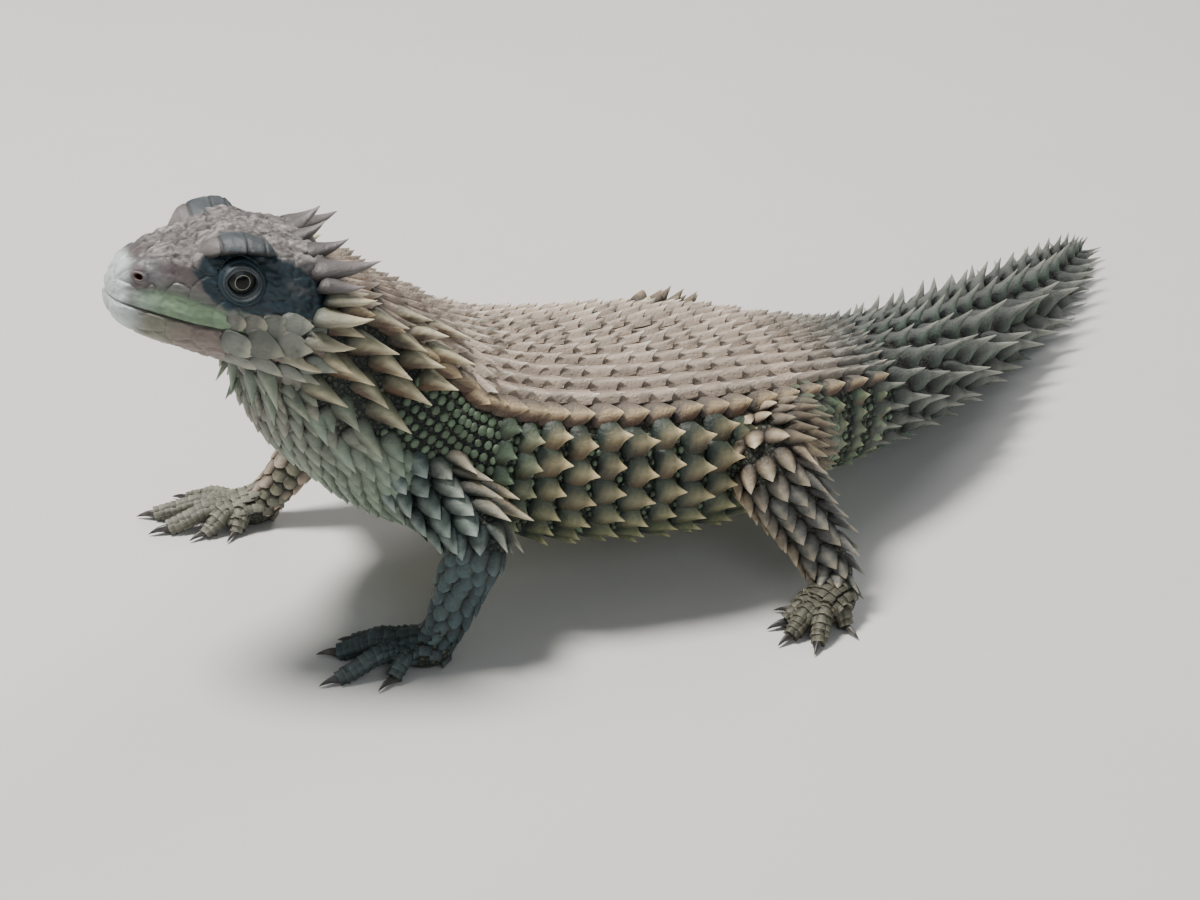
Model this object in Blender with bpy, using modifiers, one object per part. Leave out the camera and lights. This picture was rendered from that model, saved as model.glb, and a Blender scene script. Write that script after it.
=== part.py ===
"""A sungazer lizard, life size, standing on four feet with its head and forebody raised.

The animal faces -X, its left side is towards -Y and it stands on the floor at Z = 0.
Every plate and spine is set on the body's own surface by a row and a column, and is fused into
the node that it grows from. Sizes below are in millimetres, and the model is in metres.
"""

import math
import random

import bmesh
import bpy
from mathutils import Matrix, Vector
from mathutils.bvhtree import BVHTree

MM = 0.001
GAP = 0.3
PAST_JOINT = 1.0
SCALE_SEED = 7

# The middle of the footprint, taken off every place below so that the frame's origin lies under it.
FOOTPRINT_MIDDLE = (52.1, 32.1, 0.0)

# From inside the head to the tail tip: place, half width and half height of the body.
TRUNK_ROUTE = (
    ((-72.0, 11.5, 77.5), 17.0, 15.0),
    ((-66.0, 12.5, 71.5), 18.5, 18.0),
    ((-59.5, 14.5, 62.0), 20.5, 21.5),
    ((-50.5, 17.0, 52.5), 24.0, 23.0),
    ((-40.0, 18.5, 44.0), 27.5, 24.0),
    ((-24.0, 18.6, 38.0), 31.5, 23.2),
    ((-3.0, 17.0, 34.0), 35.0, 22.8),
    ((17.0, 15.8, 32.0), 36.0, 22.3),
    ((37.5, 15.0, 30.5), 31.0, 20.8),
    ((53.5, 15.3, 29.0), 23.5, 18.5),
    ((67.5, 17.8, 27.0), 19.5, 16.5),
    ((84.0, 24.0, 24.0), 17.0, 14.5),
    ((104.5, 36.5, 19.5), 15.0, 12.6),
    ((127.5, 52.5, 14.4), 12.6, 11.2),
    ((153.0, 69.5, 9.8), 10.2, 9.4),
    ((178.0, 88.0, 6.2), 7.6, 7.0),
    ((196.0, 102.0, 4.1), 5.0, 5.0),
    ((210.0, 113.5, 2.2), 2.0, 2.2),
)
TRUNK_POWER, BELLY_SHARE = 0.86, 0.92
ROUTE_STEPS = 20

# Where the nodes of the trunk start, as x along its route, then their rings and sides.
TRUNK_NODES = {
    "neck": (-72.0, 6, 18),
    "torso": (-46.5, 11, 18),
    "tail_base": (64.0, 6, 14),
    "tail_middle": (106.0, 6, 12),
    "tail_end": (152.0, 7, 10),
}

# The head's own axes: t runs back from the snout tip, then side to the left, then up.
SNOUT_TIP = (-108.2, 13.5, 90.0)
HEAD_YAW, HEAD_PITCH, HEAD_ROLL = math.radians(5.0), math.radians(11.0), math.radians(-3.0)

# Rings of the head: t, crown height, crown half width, cheek half width, chin depth.
HEAD_RINGS = (
    (0.4, 2.2, 2.4, 4.2, -4.2),
    (3.0, 5.6, 5.0, 7.4, -7.0),
    (7.0, 8.2, 7.4, 10.2, -8.8),
    (12.0, 10.0, 9.6, 12.8, -10.2),
    (17.0, 12.2, 12.6, 15.2, -11.4),
    (21.5, 14.8, 14.8, 17.2, -12.4),
    (26.0, 15.2, 15.6, 19.6, -13.2),
    (32.0, 14.6, 15.4, 22.0, -14.0),
    (39.0, 13.8, 16.4, 23.4, -14.6),
    (46.5, 12.6, 15.6, 20.6, -14.4),
)
# A ring's left half from crown to chin: share of crown half width, of cheek half width, of depth.
HEAD_OUTLINE = (
    (0.0, 0.0, 0.0),
    (0.52, 0.0, 0.0),
    (1.0, 0.0, 0.09),
    (0.45, 0.55, 0.34),
    (0.0, 1.0, 0.62),
    (0.0, 0.95, 0.80),
    (0.0, 0.68, 0.95),
    (0.0, 0.34, 1.0),
    (0.0, 0.0, 1.0),
)
# The line of the mouth, and the rear of the jaw below it, as t and up.
MOUTH_LINE = (
    (-4.0, -1.4),
    (3.0, -1.7),
    (9.0, -2.3),
    (15.0, -3.0),
    (24.0, -3.4),
    (31.0, -2.8),
    (35.5, -1.6),
)
JAW_REAR = ((37.5, -3.6), (43.0, -24.0))

EYE_PLACE, EYE_RADIUS = (24.4, 11.9, 7.0), 5.4
LID_RADIUS, LID_THICKNESS, LID_SQUASH, LID_OUT = 5.2, 1.0, 0.86, 3.7
NOSTRIL_PLACE, NOSTRIL_RADIUS = (5.8, 8.0, 4.2), 0.85
EAR_PLACE, EAR_SIZES = (41.5, 22.6, 0.8), (1.7, 1.8, 3.4)
BROW_PLACE, BROW_SIZES = (22.0, 12.6, 13.0), (6.6, 2.4, 2.0)

# Shields of the crown: t, side, length, width. Those off the middle are mirrored.
CROWN_SHIELDS = (
    (6.2, 0.0, 5.2, 7.4),
    (11.4, 3.7, 5.8, 6.8),
    (17.6, 0.0, 8.4, 8.8),
    (17.0, 8.0, 6.0, 5.4),
    (22.6, 9.4, 6.0, 7.0),
    (25.4, 3.3, 6.8, 6.0),
    (28.8, 9.8, 6.0, 7.0),
    (32.0, 0.0, 6.0, 5.4),
    (32.8, 5.2, 6.0, 4.6),
    (35.4, 10.6, 6.6, 7.4),
)
# Plates of the side of the head: t, up, length, width.
CHEEK_PLATES = (
    (8.6, 0.2, 4.8, 3.6),
    (13.8, -0.5, 4.8, 3.6),
    (19.0, -1.0, 5.0, 3.6),
    (24.4, -1.2, 5.2, 3.6),
    (30.0, -0.6, 5.4, 4.4),
    (32.0, 6.0, 5.4, 5.2),
    (36.0, 1.6, 5.6, 5.2),
    (35.0, 10.6, 5.6, 4.4),
)
# Spines of the back of the head: root, then tip, as t, side and up, then width at the root.
CROWN_SPINES = (
    ((40.0, 4.6, 11.4), (48.4, 6.0, 15.0), 5.2),
    ((41.0, 12.8, 10.2), (51.6, 17.2, 14.4), 6.2),
)
CHEEK_SPINES = (
    ((41.5, 19.0, 6.2), (50.4, 24.6, 7.4), 5.2),
    ((40.0, 20.6, 0.0), (49.4, 26.0, 2.2), 5.4),
    ((37.0, 20.8, -5.6), (46.0, 26.4, -4.0), 5.2),
    ((31.0, 18.6, -9.6), (39.0, 24.6, -9.4), 4.6),
)

# Plates of the back: pitch of the rows, then one plate's width, and how many stand either side.
BACK_PITCH, BACK_PLATE, BACK_PLATES = 8.4, 8.8, 3
BACK_LIFTS = (2.2, 2.4, 2.8)

# Where along the half outline the rows of the flank and of the neck stand, then their pitch.
FLANK_SHARES, FLANK_PITCH = (0.37, 0.46, 0.55), 9.8
NECK_SHARES, NECK_PITCH = (0.06, 0.17, 0.28, 0.39, 0.50, 0.61), 8.6

# Lines between the spines of a tail whorl, their lifts as shares of its size, and its pitch.
TAIL_EDGES, TAIL_LIFTS = (0.0, 0.25, 0.5, 0.78), (0.28, 0.36, 0.34)
TAIL_THIN, TAIL_THIN_EDGES = 9.5, (0.0, 0.36, 0.74)
TAIL_LEAST_PITCH, TAIL_PITCH_SHARE = 6.4, 0.16

# Scales of a limb: how many stand in a row round its outer side, then length, lift and overhang.
LIMB_SCALES = {
    "upper_arm": (4, 7.2, 2.2, 1.6),
    "forearm": (4, 7.2, 2.0, 1.5),
    "thigh": (4, 8.0, 3.2, 2.4),
    "shank": (4, 7.6, 2.8, 2.0),
}

# Shoulder or hip, elbow or knee, wrist or ankle, and the pad of the hand or foot.
LIMBS = {
    "left_arm": ((-46.0, 6.0, 42.0), (-37.5, -16.5, 27.5), (-46.5, -18.5, 9.5), (-51.5, -17.5, 4.0)),
    "right_arm": ((-45.0, 32.0, 42.0), (-44.0, 57.0, 27.5), (-59.0, 60.0, 9.5), (-65.0, 62.0, 4.0)),
    "left_leg": ((53.0, 5.5, 29.0), (33.5, -18.5, 32.5), (43.0, -33.0, 9.6), (40.0, -38.5, 4.3)),
    "right_leg": ((53.0, 25.5, 29.0), (33.5, 49.5, 35.5), (49.0, 63.5, 10.0), (45.0, 69.5, 4.3)),
}
LIMB_SEGMENTS = {"arm": ("upper_arm", "forearm", "hand"), "leg": ("thigh", "shank", "foot")}
LIMB_RADII = {"arm": (10.0, 9.2, 6.6, 5.8, 4.3), "leg": (13.0, 12.2, 9.0, 7.0, 4.8)}
PAD_SIZES = {"arm": (7.4, 6.0, 4.4), "leg": (8.0, 6.4, 4.7)}
TOE_RADIUS, CLAW_LENGTH = 1.75, 4.6

# Where each claw's tip stands, first toe to fifth.
TOE_TIPS = {
    "left_arm": ((-58.5, -4.0), (-66.0, -1.0), (-72.5, -5.0), (-76.5, -18.0), (-65.5, -25.5)),
    "right_arm": ((-74.5, 53.0), (-82.5, 57.5), (-90.5, 65.0), (-90.5, 75.0), (-79.5, 81.5)),
    "left_leg": ((29.5, -31.0), (24.0, -38.0), (23.0, -45.5), (28.5, -52.5), (41.0, -50.5)),
    "right_leg": ((34.5, 62.0), (29.0, 69.0), (28.0, 76.5), (33.5, 83.5), (46.0, 81.5)),
}

COLOURS = {
    "back": ((0.19, 0.145, 0.105, 1.0), 0.72),
    "neck": ((0.30, 0.23, 0.13, 1.0), 0.68),
    "head": ((0.15, 0.115, 0.09, 1.0), 0.6),
    "jaw": ((0.46, 0.44, 0.30, 1.0), 0.5),
    "tail": ((0.20, 0.165, 0.12, 1.0), 0.7),
    "limb": ((0.27, 0.22, 0.14, 1.0), 0.68),
    "foot": ((0.22, 0.18, 0.12, 1.0), 0.66),
    "eye": ((0.03, 0.028, 0.025, 1.0), 0.12),
}

rolls = random.Random(SCALE_SEED)


def vary(size, share=0.07):
    return size * (1 + rolls.uniform(-share, share))


def clear_scene():
    for thing in list(bpy.data.objects):
        bpy.data.objects.remove(thing, do_unlink=True)


def material(name):
    made = bpy.data.materials.get(name)
    if made is None:
        made = bpy.data.materials.new(name)
        made.use_nodes = True
        shader = made.node_tree.nodes["Principled BSDF"]
        colour, roughness = COLOURS[name]
        shader.inputs["Base Color"].default_value = colour
        shader.inputs["Roughness"].default_value = roughness
        shader.inputs["Metallic"].default_value = 0.0
    return made


def new_object(name, bm, colour=None):
    """A mesh object, in metres from the middle of the footprint, from a bmesh in mm."""
    bmesh.ops.recalc_face_normals(bm, faces=bm.faces)
    for vert in bm.verts:
        vert.co = (vert.co - Vector(FOOTPRINT_MIDDLE)) * MM
    mesh = bpy.data.meshes.new(name)
    bm.to_mesh(mesh)
    bm.free()
    made = bpy.data.objects.new(name, mesh)
    if colour:
        mesh.materials.append(material(colour))
    return made


def loft(rings):
    """A closed bmesh through rings of equally many points, with a flat cap at either end."""
    bm = bmesh.new()
    loops = [[bm.verts.new(point) for point in ring] for ring in rings]
    for near, far in zip(loops, loops[1:]):
        for i in range(len(near)):
            j = (i + 1) % len(near)
            bm.faces.new((near[i], near[j], far[j], far[i]))
    bm.faces.new(reversed(loops[0]))
    bm.faces.new(loops[-1])
    return bm


def smooth_between(rows, share):
    """Catmull-Rom through four rows of numbers, share of the way from the second to the third."""
    square, cube = share**2, share**3
    return [
        0.5 * (2 * b + (c - a) * share + (2 * a - 5 * b + 4 * c - d) * square)
        + 0.5 * (3 * b - a - 3 * c + d) * cube
        for a, b, c, d in zip(*rows)
    ]


class Tube:
    """A smooth line with a body's half width and half height, read by the distance along it.

    Its surface is addressed by that distance, a side (1 left, -1 right) and a share of the half
    outline, which is 0 in the middle of the back and 1 in the middle of the belly.
    """

    def __init__(self, route, pole, power=1.0, belly=1.0):
        rows = [[*centre, width, height] for centre, width, height in route]
        rows = [rows[0], *rows, rows[-1]]
        self.samples = []
        for i in range(1, len(rows) - 2):
            four = rows[i - 1 : i + 3]
            self.samples += [smooth_between(four, k / ROUTE_STEPS) for k in range(ROUTE_STEPS)]
        self.samples.append(rows[-1])
        self.pole, self.power, self.belly = Vector(pole), power, belly
        self.lengths = [0.0]
        for here, there in zip(self.samples, self.samples[1:]):
            step = (Vector(there[:3]) - Vector(here[:3])).length
            self.lengths.append(self.lengths[-1] + step)

    def distance_at(self, x):
        """How far along the line it first passes that x."""
        return next(d for row, d in zip(self.samples, self.lengths) if row[0] >= x)

    def distance_near(self, point):
        """How far along the line it passes nearest to that point."""
        away = [(Vector(row[:3]) - Vector(point)).length for row in self.samples]
        return self.lengths[away.index(min(away))]

    def at(self, distance):
        """Centre, half width and half height at that distance."""
        i = 0
        while i < len(self.lengths) - 2 and self.lengths[i + 1] < distance:
            i += 1
        share = (distance - self.lengths[i]) / (self.lengths[i + 1] - self.lengths[i])
        row = [a + (b - a) * share for a, b in zip(self.samples[i], self.samples[i + 1])]
        return Vector(row[:3]), row[3], row[4]

    def axes(self, distance):
        """Backwards along the line, left and up."""
        step = 1.5
        back = (self.at(distance + step)[0] - self.at(distance - step)[0]).normalized()
        left = back.cross(self.pole).normalized()
        return back, left, left.cross(back)

    def outline(self, angle, width, height):
        side, up = math.sin(angle), math.cos(angle)
        if up < 0:
            height = height * self.belly
        return (
            math.copysign(abs(side) ** self.power, side) * width,
            math.copysign(abs(up) ** self.power, up) * height,
        )

    def angle(self, share, width, height):
        """The angle from the middle of the back at which that share of the half outline is used."""
        steps = 32
        turns = [math.pi * k / steps for k in range(steps + 1)]
        points = [Vector(self.outline(turn, width, height)) for turn in turns]
        runs = [0.0]
        for here, there in zip(points, points[1:]):
            runs.append(runs[-1] + (there - here).length)
        wanted = min(max(share, 0.0), 1.0) * runs[-1]
        i = next(k for k in range(steps) if runs[k + 1] >= wanted - 1e-9)
        return math.pi * (i + (wanted - runs[i]) / (runs[i + 1] - runs[i])) / steps

    def point(self, distance, side, share):
        centre, width, height = self.at(distance)
        across, up = self.outline(self.angle(share, width, height), width, height)
        _, left, above = self.axes(distance)
        return centre + left * across * side + above * up

    def seat(self, distance, side, share):
        """Place, backwards and outwards of the surface there, for what grows on it."""
        step, turn = 1.0, 0.03
        here = self.point(distance, side, share)
        back = self.point(distance + step, side, share) - self.point(distance - step, side, share)
        low = self.point(distance, side, max(share - turn, 0.0))
        high = self.point(distance, side, min(share + turn, 1.0))
        out = (high - low).cross(back)
        if out.dot(here - self.at(distance)[0]) < 0:
            out = -out
        return here, back.normalized(), out.normalized()

    def stretch(self, start, end, rings, sides, grow=0.0, last=1.0):
        """A closed bmesh of the line from start to end, its last ring made smaller by that share."""
        made = []
        for k in range(rings + 1):
            centre, width, height = self.at(start + (end - start) * k / rings)
            _, left, up = self.axes(start + (end - start) * k / rings)
            size = last if k == rings else 1.0
            turns = [2 * math.pi * (i + 0.5) / sides for i in range(sides)]
            outline = [self.outline(turn, width + grow, height + grow) for turn in turns]
            made.append([centre + (left * a + up * b) * size for a, b in outline])
        return loft(made)

    def reach(self, point):
        """How far that point is outside the tube's side or beyond its end, roughly."""
        away = [(Vector(row[:3]) - point).length for row in self.samples]
        nearest = self.lengths[away.index(min(away))]
        centre, width, height = self.at(nearest)
        back, left, up = self.axes(nearest)
        apart = point - centre
        outside = math.hypot(apart.dot(left) / width, apart.dot(up) / height) - 1
        return max(outside * min(width, height), abs(apart.dot(back)))


# The corners of a scale with five sides and of a spine with four: along and across, of its sizes.
OUTLINES = {
    5: ((0.5, 0.0), (0.16, 0.5), (-0.5, 0.4), (-0.5, -0.4), (0.16, -0.5)),
    4: ((0.5, 0.0), (-0.12, 0.5), (-0.5, 0.0), (-0.12, -0.5)),
}


def scale_piece(seat, length, width, lift, keel, overhang=0.0, sides=5, sink=1.4):
    """A keeled scale: a raised keel and a point at the back that stands lift above the skin.

    keel is the height of its middle and overhang how far the point runs past its own length.
    """
    here, back, out = seat
    across = out.cross(back).normalized()
    bm = bmesh.new()
    bmesh.ops.create_cone(bm, cap_ends=True, segments=sides, radius1=1, radius2=1, depth=1)
    lid = next(face for face in bm.faces if all(vert.co.z > 0 for vert in face.verts))
    first = math.atan2(lid.verts[0].co.y, lid.verts[0].co.x)
    crest = bmesh.ops.poke(bm, faces=[lid])["verts"][0]
    for vert in bm.verts:
        if vert is crest:
            vert.co = here + out * keel - back * 0.08 * length
            continue
        turn = (math.atan2(vert.co.y, vert.co.x) - first) / (2 * math.pi) * sides
        corner = round(turn) % sides
        along, aside = OUTLINES[sides][corner]
        if vert.co.z < 0:
            vert.co = here + back * along * length * 0.84 + across * aside * width * 0.9 - out * sink
        elif corner == 0:
            vert.co = here + back * (along * length + overhang) + out * lift
        else:
            edge = 0.5 if along > -0.3 else 0.15
            vert.co = here + back * along * length + across * aside * width + out * edge
    return new_object("scale", bm)


def row_piece(tube, distance, edges, length, lifts, overhang, sink=1.4):
    """A row of keeled plates side by side, each a ridge that rises to its point at the back.

    edges are the lines between the plates, as shares of the half outline, negative on the right.
    """
    count = len(edges) - 1
    bm = bmesh.new()
    bmesh.ops.create_grid(bm, x_segments=2 * count, y_segments=1, size=1)
    made = bmesh.ops.extrude_face_region(bm, geom=bm.faces[:], use_keep_orig=True)["geom"]
    raised = {item for item in made if isinstance(item, bmesh.types.BMVert)}
    for vert in bm.verts:
        column = round((vert.co.x + 1) * count)
        plate, middle = min(column // 2, count - 1), column % 2 == 1
        share = (edges[plate] + edges[plate + 1]) / 2 if middle else edges[column // 2]
        along, height = -length / 2, 0.7 if middle else 0.2
        if vert.co.y > 0:
            point = middle and vert in raised
            along, height = length / 2 + (overhang if point else 0.0), lifts[plate] if middle else 0.7
        here, back, out = tube.seat(distance, math.copysign(1, share), abs(share))
        vert.co = here + back * along + out * (height if vert in raised else -sink)
    return new_object("row", bm)


def horn_piece(root, tip, width, up, sink=2.4, sides=5):
    """A curved spine from its root, which is sunk in the body, to its tip."""
    root, tip = Vector(root), Vector(tip)
    along = (tip - root).normalized()
    across = along.cross(up).normalized()
    above = across.cross(along)
    rings = []
    for share, size, bow in ((-sink, 1.0, 0.0), (0.45, 0.66, 0.12), (1.0, 0.06, 0.0)):
        middle = root + along * share if share < 0 else root.lerp(tip, share)
        middle = middle - above * bow * width
        turns = [2 * math.pi * (i + 0.25) / sides for i in range(sides)]
        half = width * size / 2
        ring = [across * math.cos(a) + above * math.sin(a) * 0.78 for a in turns]
        rings.append([middle + offset * half for offset in ring])
    return new_object("horn", loft(rings))


def ball_piece(middle, axes, sizes, rounds=10, rows=6):
    """An ellipsoid with its half sizes along the three axes given."""
    bm = bmesh.new()
    bmesh.ops.create_uvsphere(bm, u_segments=rounds, v_segments=rows, radius=1)
    turn = Matrix([axis * size for axis, size in zip(axes, sizes)]).transposed()
    bmesh.ops.transform(bm, matrix=Matrix.Translation(middle) @ turn.to_4x4(), verts=bm.verts)
    return new_object("ball", bm)


def apply_modifiers(thing):
    bpy.context.view_layer.update()
    graph = bpy.context.evaluated_depsgraph_get()
    mesh = bpy.data.meshes.new_from_object(thing.evaluated_get(graph))
    thing.modifiers.clear()
    old, thing.data = thing.data, mesh
    bpy.data.meshes.remove(old)


def keep_largest(thing):
    """Drops every closed surface but the largest."""
    bm = bmesh.new()
    bm.from_mesh(thing.data)
    left, groups = set(bm.verts), []
    while left:
        edge = [left.pop()]
        group = set(edge)
        while edge:
            found = {v for link in edge.pop().link_edges for v in link.verts if v in left}
            left -= found
            group |= found
            edge += found
        groups.append(group)
    largest = max(groups, key=len)
    bmesh.ops.delete(bm, geom=[v for v in bm.verts if v not in largest], context="VERTS")
    bm.to_mesh(thing.data)
    bm.free()


def combine(base, pieces, operation):
    """One Boolean of the base with a collection of closed pieces, applied, and the pieces removed."""
    holder = bpy.data.collections.new(base.name + "_pieces")
    bpy.context.scene.collection.children.link(holder)
    for piece in pieces:
        holder.objects.link(piece)
    modifier = base.modifiers.new(operation.lower(), "BOOLEAN")
    modifier.operation, modifier.operand_type = operation, "COLLECTION"
    modifier.collection, modifier.solver = holder, "EXACT"
    apply_modifiers(base)
    for piece in pieces:
        mesh = piece.data
        bpy.data.objects.remove(piece, do_unlink=True)
        bpy.data.meshes.remove(mesh)
    bpy.data.collections.remove(holder)


def block_piece(place, direction):
    """A block that fills everything near and beyond a plane through a place, facing a direction."""
    bm = bmesh.new()
    bmesh.ops.create_cube(bm, size=1)
    bmesh.ops.scale(bm, vec=(90, 90, 45), verts=bm.verts)
    bmesh.ops.translate(bm, vec=(0, 0, 22.5), verts=bm.verts)
    turn = direction.to_track_quat("Z", "Y").to_matrix().to_4x4()
    bmesh.ops.transform(bm, matrix=Matrix.Translation(place) @ turn, verts=bm.verts)
    return new_object("block", bm)


def floor_piece():
    """A slab under the floor, which leaves small flats where the animal stands on it."""
    bm = bmesh.new()
    bmesh.ops.create_cube(bm, size=1)
    bmesh.ops.scale(bm, vec=(600, 600, 50), verts=bm.verts)
    bmesh.ops.translate(bm, vec=(FOOTPRINT_MIDDLE[0], FOOTPRINT_MIDDLE[1], -25), verts=bm.verts)
    return new_object("floor", bm)


def finish(parts, base, pieces=(), cutters=()):
    """Fuses a node's pieces, cuts it clear of its neighbours and the floor, and shades it."""
    parts.objects.link(base)
    if pieces:
        combine(base, pieces, "UNION")
    combine(base, [*cutters, floor_piece()], "DIFFERENCE")
    keep_largest(base)
    base.data.shade_smooth()
    base.data.set_sharp_from_angle(angle=math.radians(35))


class Head:
    """The head's axes and its closed hull, before the mouth parts the jaw from it."""

    def __init__(self):
        flat = math.cos(HEAD_PITCH)
        ahead = Vector((-math.cos(HEAD_YAW) * flat, math.sin(HEAD_YAW) * flat, math.sin(HEAD_PITCH)))
        left = Vector((0, 0, 1)).cross(ahead).normalized()
        roll = Matrix.Rotation(-HEAD_ROLL, 3, ahead)
        self.back, self.left = -ahead, roll @ left
        self.up = ahead.cross(self.left)
        self.tree = self.tree_of(self.hull())

    def point(self, t, side, up):
        return Vector(SNOUT_TIP) + self.back * t + self.left * side + self.up * up

    def ring(self, t, crown, crown_half, cheek_half, chin):
        half = []
        for crown_share, cheek_share, depth_share in HEAD_OUTLINE:
            side = crown_share * crown_half + cheek_share * cheek_half
            half.append((side, crown + (chin - crown) * depth_share))
        whole = half + [(-side, up) for side, up in half[-2:0:-1]]
        return [self.point(t, side, up) for side, up in whole]

    def hull(self, name="head", colour="head", grow=0.0):
        """The hull as an object, subdivided once and grown outwards by that much."""
        made = new_object(name, loft([self.ring(*row) for row in HEAD_RINGS]), colour)
        bpy.context.scene.collection.objects.link(made)
        smooth = made.modifiers.new("smooth", "SUBSURF")
        smooth.levels = smooth.render_levels = 1
        apply_modifiers(made)
        bpy.context.scene.collection.objects.unlink(made)
        if grow:
            places = [vert.co + vert.normal * grow * MM for vert in made.data.vertices]
            for vert, place in zip(made.data.vertices, places):
                vert.co = place
        return made

    def tree_of(self, hull):
        points = [vert.co / MM + Vector(FOOTPRINT_MIDDLE) for vert in hull.data.vertices]
        faces = [list(face.vertices) for face in hull.data.polygons]
        bpy.data.objects.remove(hull, do_unlink=True)
        return BVHTree.FromPolygons(points, faces)

    def seat(self, start, towards):
        """Place, backwards and outwards where a line from start meets the hull."""
        here, out, _, _ = self.tree.ray_cast(start, towards)
        back = (self.back - out * self.back.dot(out)).normalized()
        return here, back, out

    def top_seat(self, t, side):
        return self.seat(self.point(t, side, 40), -self.up)

    def side_seat(self, t, side, up):
        return self.seat(self.point(t, side * 50, up), self.left * -side)


def prism(head, outline, name):
    """A block across the head with that outline of t and up."""
    rings = [[head.point(t, side, up) for t, up in outline] for side in (-34, 34)]
    return new_object(name, loft(rings))


def lid_piece(head, side):
    """The ring of the eyelids, which the eyeball's socket is then cut through."""
    bm = bmesh.new()
    verts = bmesh.ops.create_circle(bm, segments=5, radius=LID_THICKNESS)["verts"]
    upright = Matrix.Rotation(math.pi / 2, 3, "X")
    bmesh.ops.rotate(bm, verts=verts, cent=(0, 0, 0), matrix=upright)
    bmesh.ops.translate(bm, vec=(LID_RADIUS, 0, 0), verts=verts)
    rim = bm.verts[:] + bm.edges[:]
    around = {"cent": (0, 0, 0), "axis": (0, 0, 1), "angle": 2 * math.pi}
    bmesh.ops.spin(bm, geom=rim, steps=12, use_merge=True, **around)
    t, aside, up = EYE_PLACE
    axes = (head.back, head.up * LID_SQUASH, head.left * side)
    turn = Matrix(axes).transposed().to_4x4()
    middle = head.point(t, (aside + LID_OUT) * side, up)
    bmesh.ops.transform(bm, matrix=Matrix.Translation(middle) @ turn, verts=bm.verts)
    return new_object("lid", bm)


def head_pieces(head):
    """Lids, brows, crown shields, cheek plates and the spines of the back of the head."""
    pieces = []
    axes = (head.back, head.left, head.up)
    for side in (1, -1):
        pieces.append(lid_piece(head, side))
        t, aside, up = BROW_PLACE
        pieces.append(ball_piece(head.point(t, aside * side, up), axes, BROW_SIZES, rounds=8, rows=5))
        for t, up, length, width in CHEEK_PLATES:
            pieces.append(scale_piece(head.side_seat(t, side, up), length, width, 0.7, 0.9))
        for root, tip, width in CROWN_SPINES + CHEEK_SPINES:
            places = [head.point(t, aside * side, up) for t, aside, up in (root, tip)]
            pieces.append(horn_piece(*places, vary(width), head.up))
        for t, aside, length, width in CROWN_SHIELDS:
            if aside or side > 0:
                pieces.append(scale_piece(head.top_seat(t, aside * side), length, width, 0.5, 0.9))
    return pieces


def jaw_pieces(head):
    """A row of plates along either lower lip."""
    pieces = []
    for side in (1, -1):
        for k in range(5):
            seat = head.side_seat(8.0 + 5.6 * k, side, -5.4 - 0.5 * min(k, 2))
            pieces.append(scale_piece(seat, 5.2, 3.4, 0.6, 0.8))
    return pieces


def add_head(parts, head):
    """The head with its mouth line, sockets, nostrils and ears, then the jaw and the eyeballs."""
    axes = (head.back, head.left, head.up)
    mouth = [*MOUTH_LINE, *JAW_REAR]
    cutters = [prism(head, [*mouth, (-4.0, JAW_REAR[1][1])], "below")]
    for side in (1, -1):
        for (t, aside, up), sizes, rounds in (
            (EYE_PLACE, (EYE_RADIUS + GAP,) * 3, 16),
            (NOSTRIL_PLACE, (NOSTRIL_RADIUS,) * 3, 6),
            (EAR_PLACE, EAR_SIZES, 8),
        ):
            cutters.append(ball_piece(head.point(t, aside * side, up), axes, sizes, rounds, rounds // 2))
    finish(parts, head.hull(), head_pieces(head), cutters)
    lower = [(t, up - GAP) for t, up in MOUTH_LINE] + [(t - 1.2 * GAP, up) for t, up in JAW_REAR]
    above = prism(head, [*lower, (60.0, JAW_REAR[1][1]), (60.0, 34.0), (-4.0, 34.0)], "above")
    finish(parts, head.hull("jaw", "jaw"), jaw_pieces(head), [above])
    for side, name in ((1, "left_eye"), (-1, "right_eye")):
        t, aside, up = EYE_PLACE
        ball = ball_piece(head.point(t, aside * side, up), axes, (EYE_RADIUS,) * 3, rounds=14, rows=8)
        ball.name = name
        ball.data.materials.append(material("eye"))
        ball.data.shade_smooth()
        parts.objects.link(ball)


def rows_between(start, end, pitch):
    """Evenly spaced distances, half a pitch in from either end, as near to that pitch as they fit."""
    count = max(1, round((end - start) / pitch))
    return [start + (end - start) * (k + 0.5) / count for k in range(count)]


def both_sides(row):
    return [*reversed(row), *row]


def clear_run(tube, distance, edges, others, room):
    """The longest run of edges of a row that stands clear of the other tubes by that room."""
    run, longest = [], []
    for edge in edges:
        place = tube.seat(distance, math.copysign(1, edge), abs(edge))[0]
        run = [*run, edge] if min(other.reach(place) for other in others) > room else []
        longest = max(longest, run, key=len)
    return longest


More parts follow.
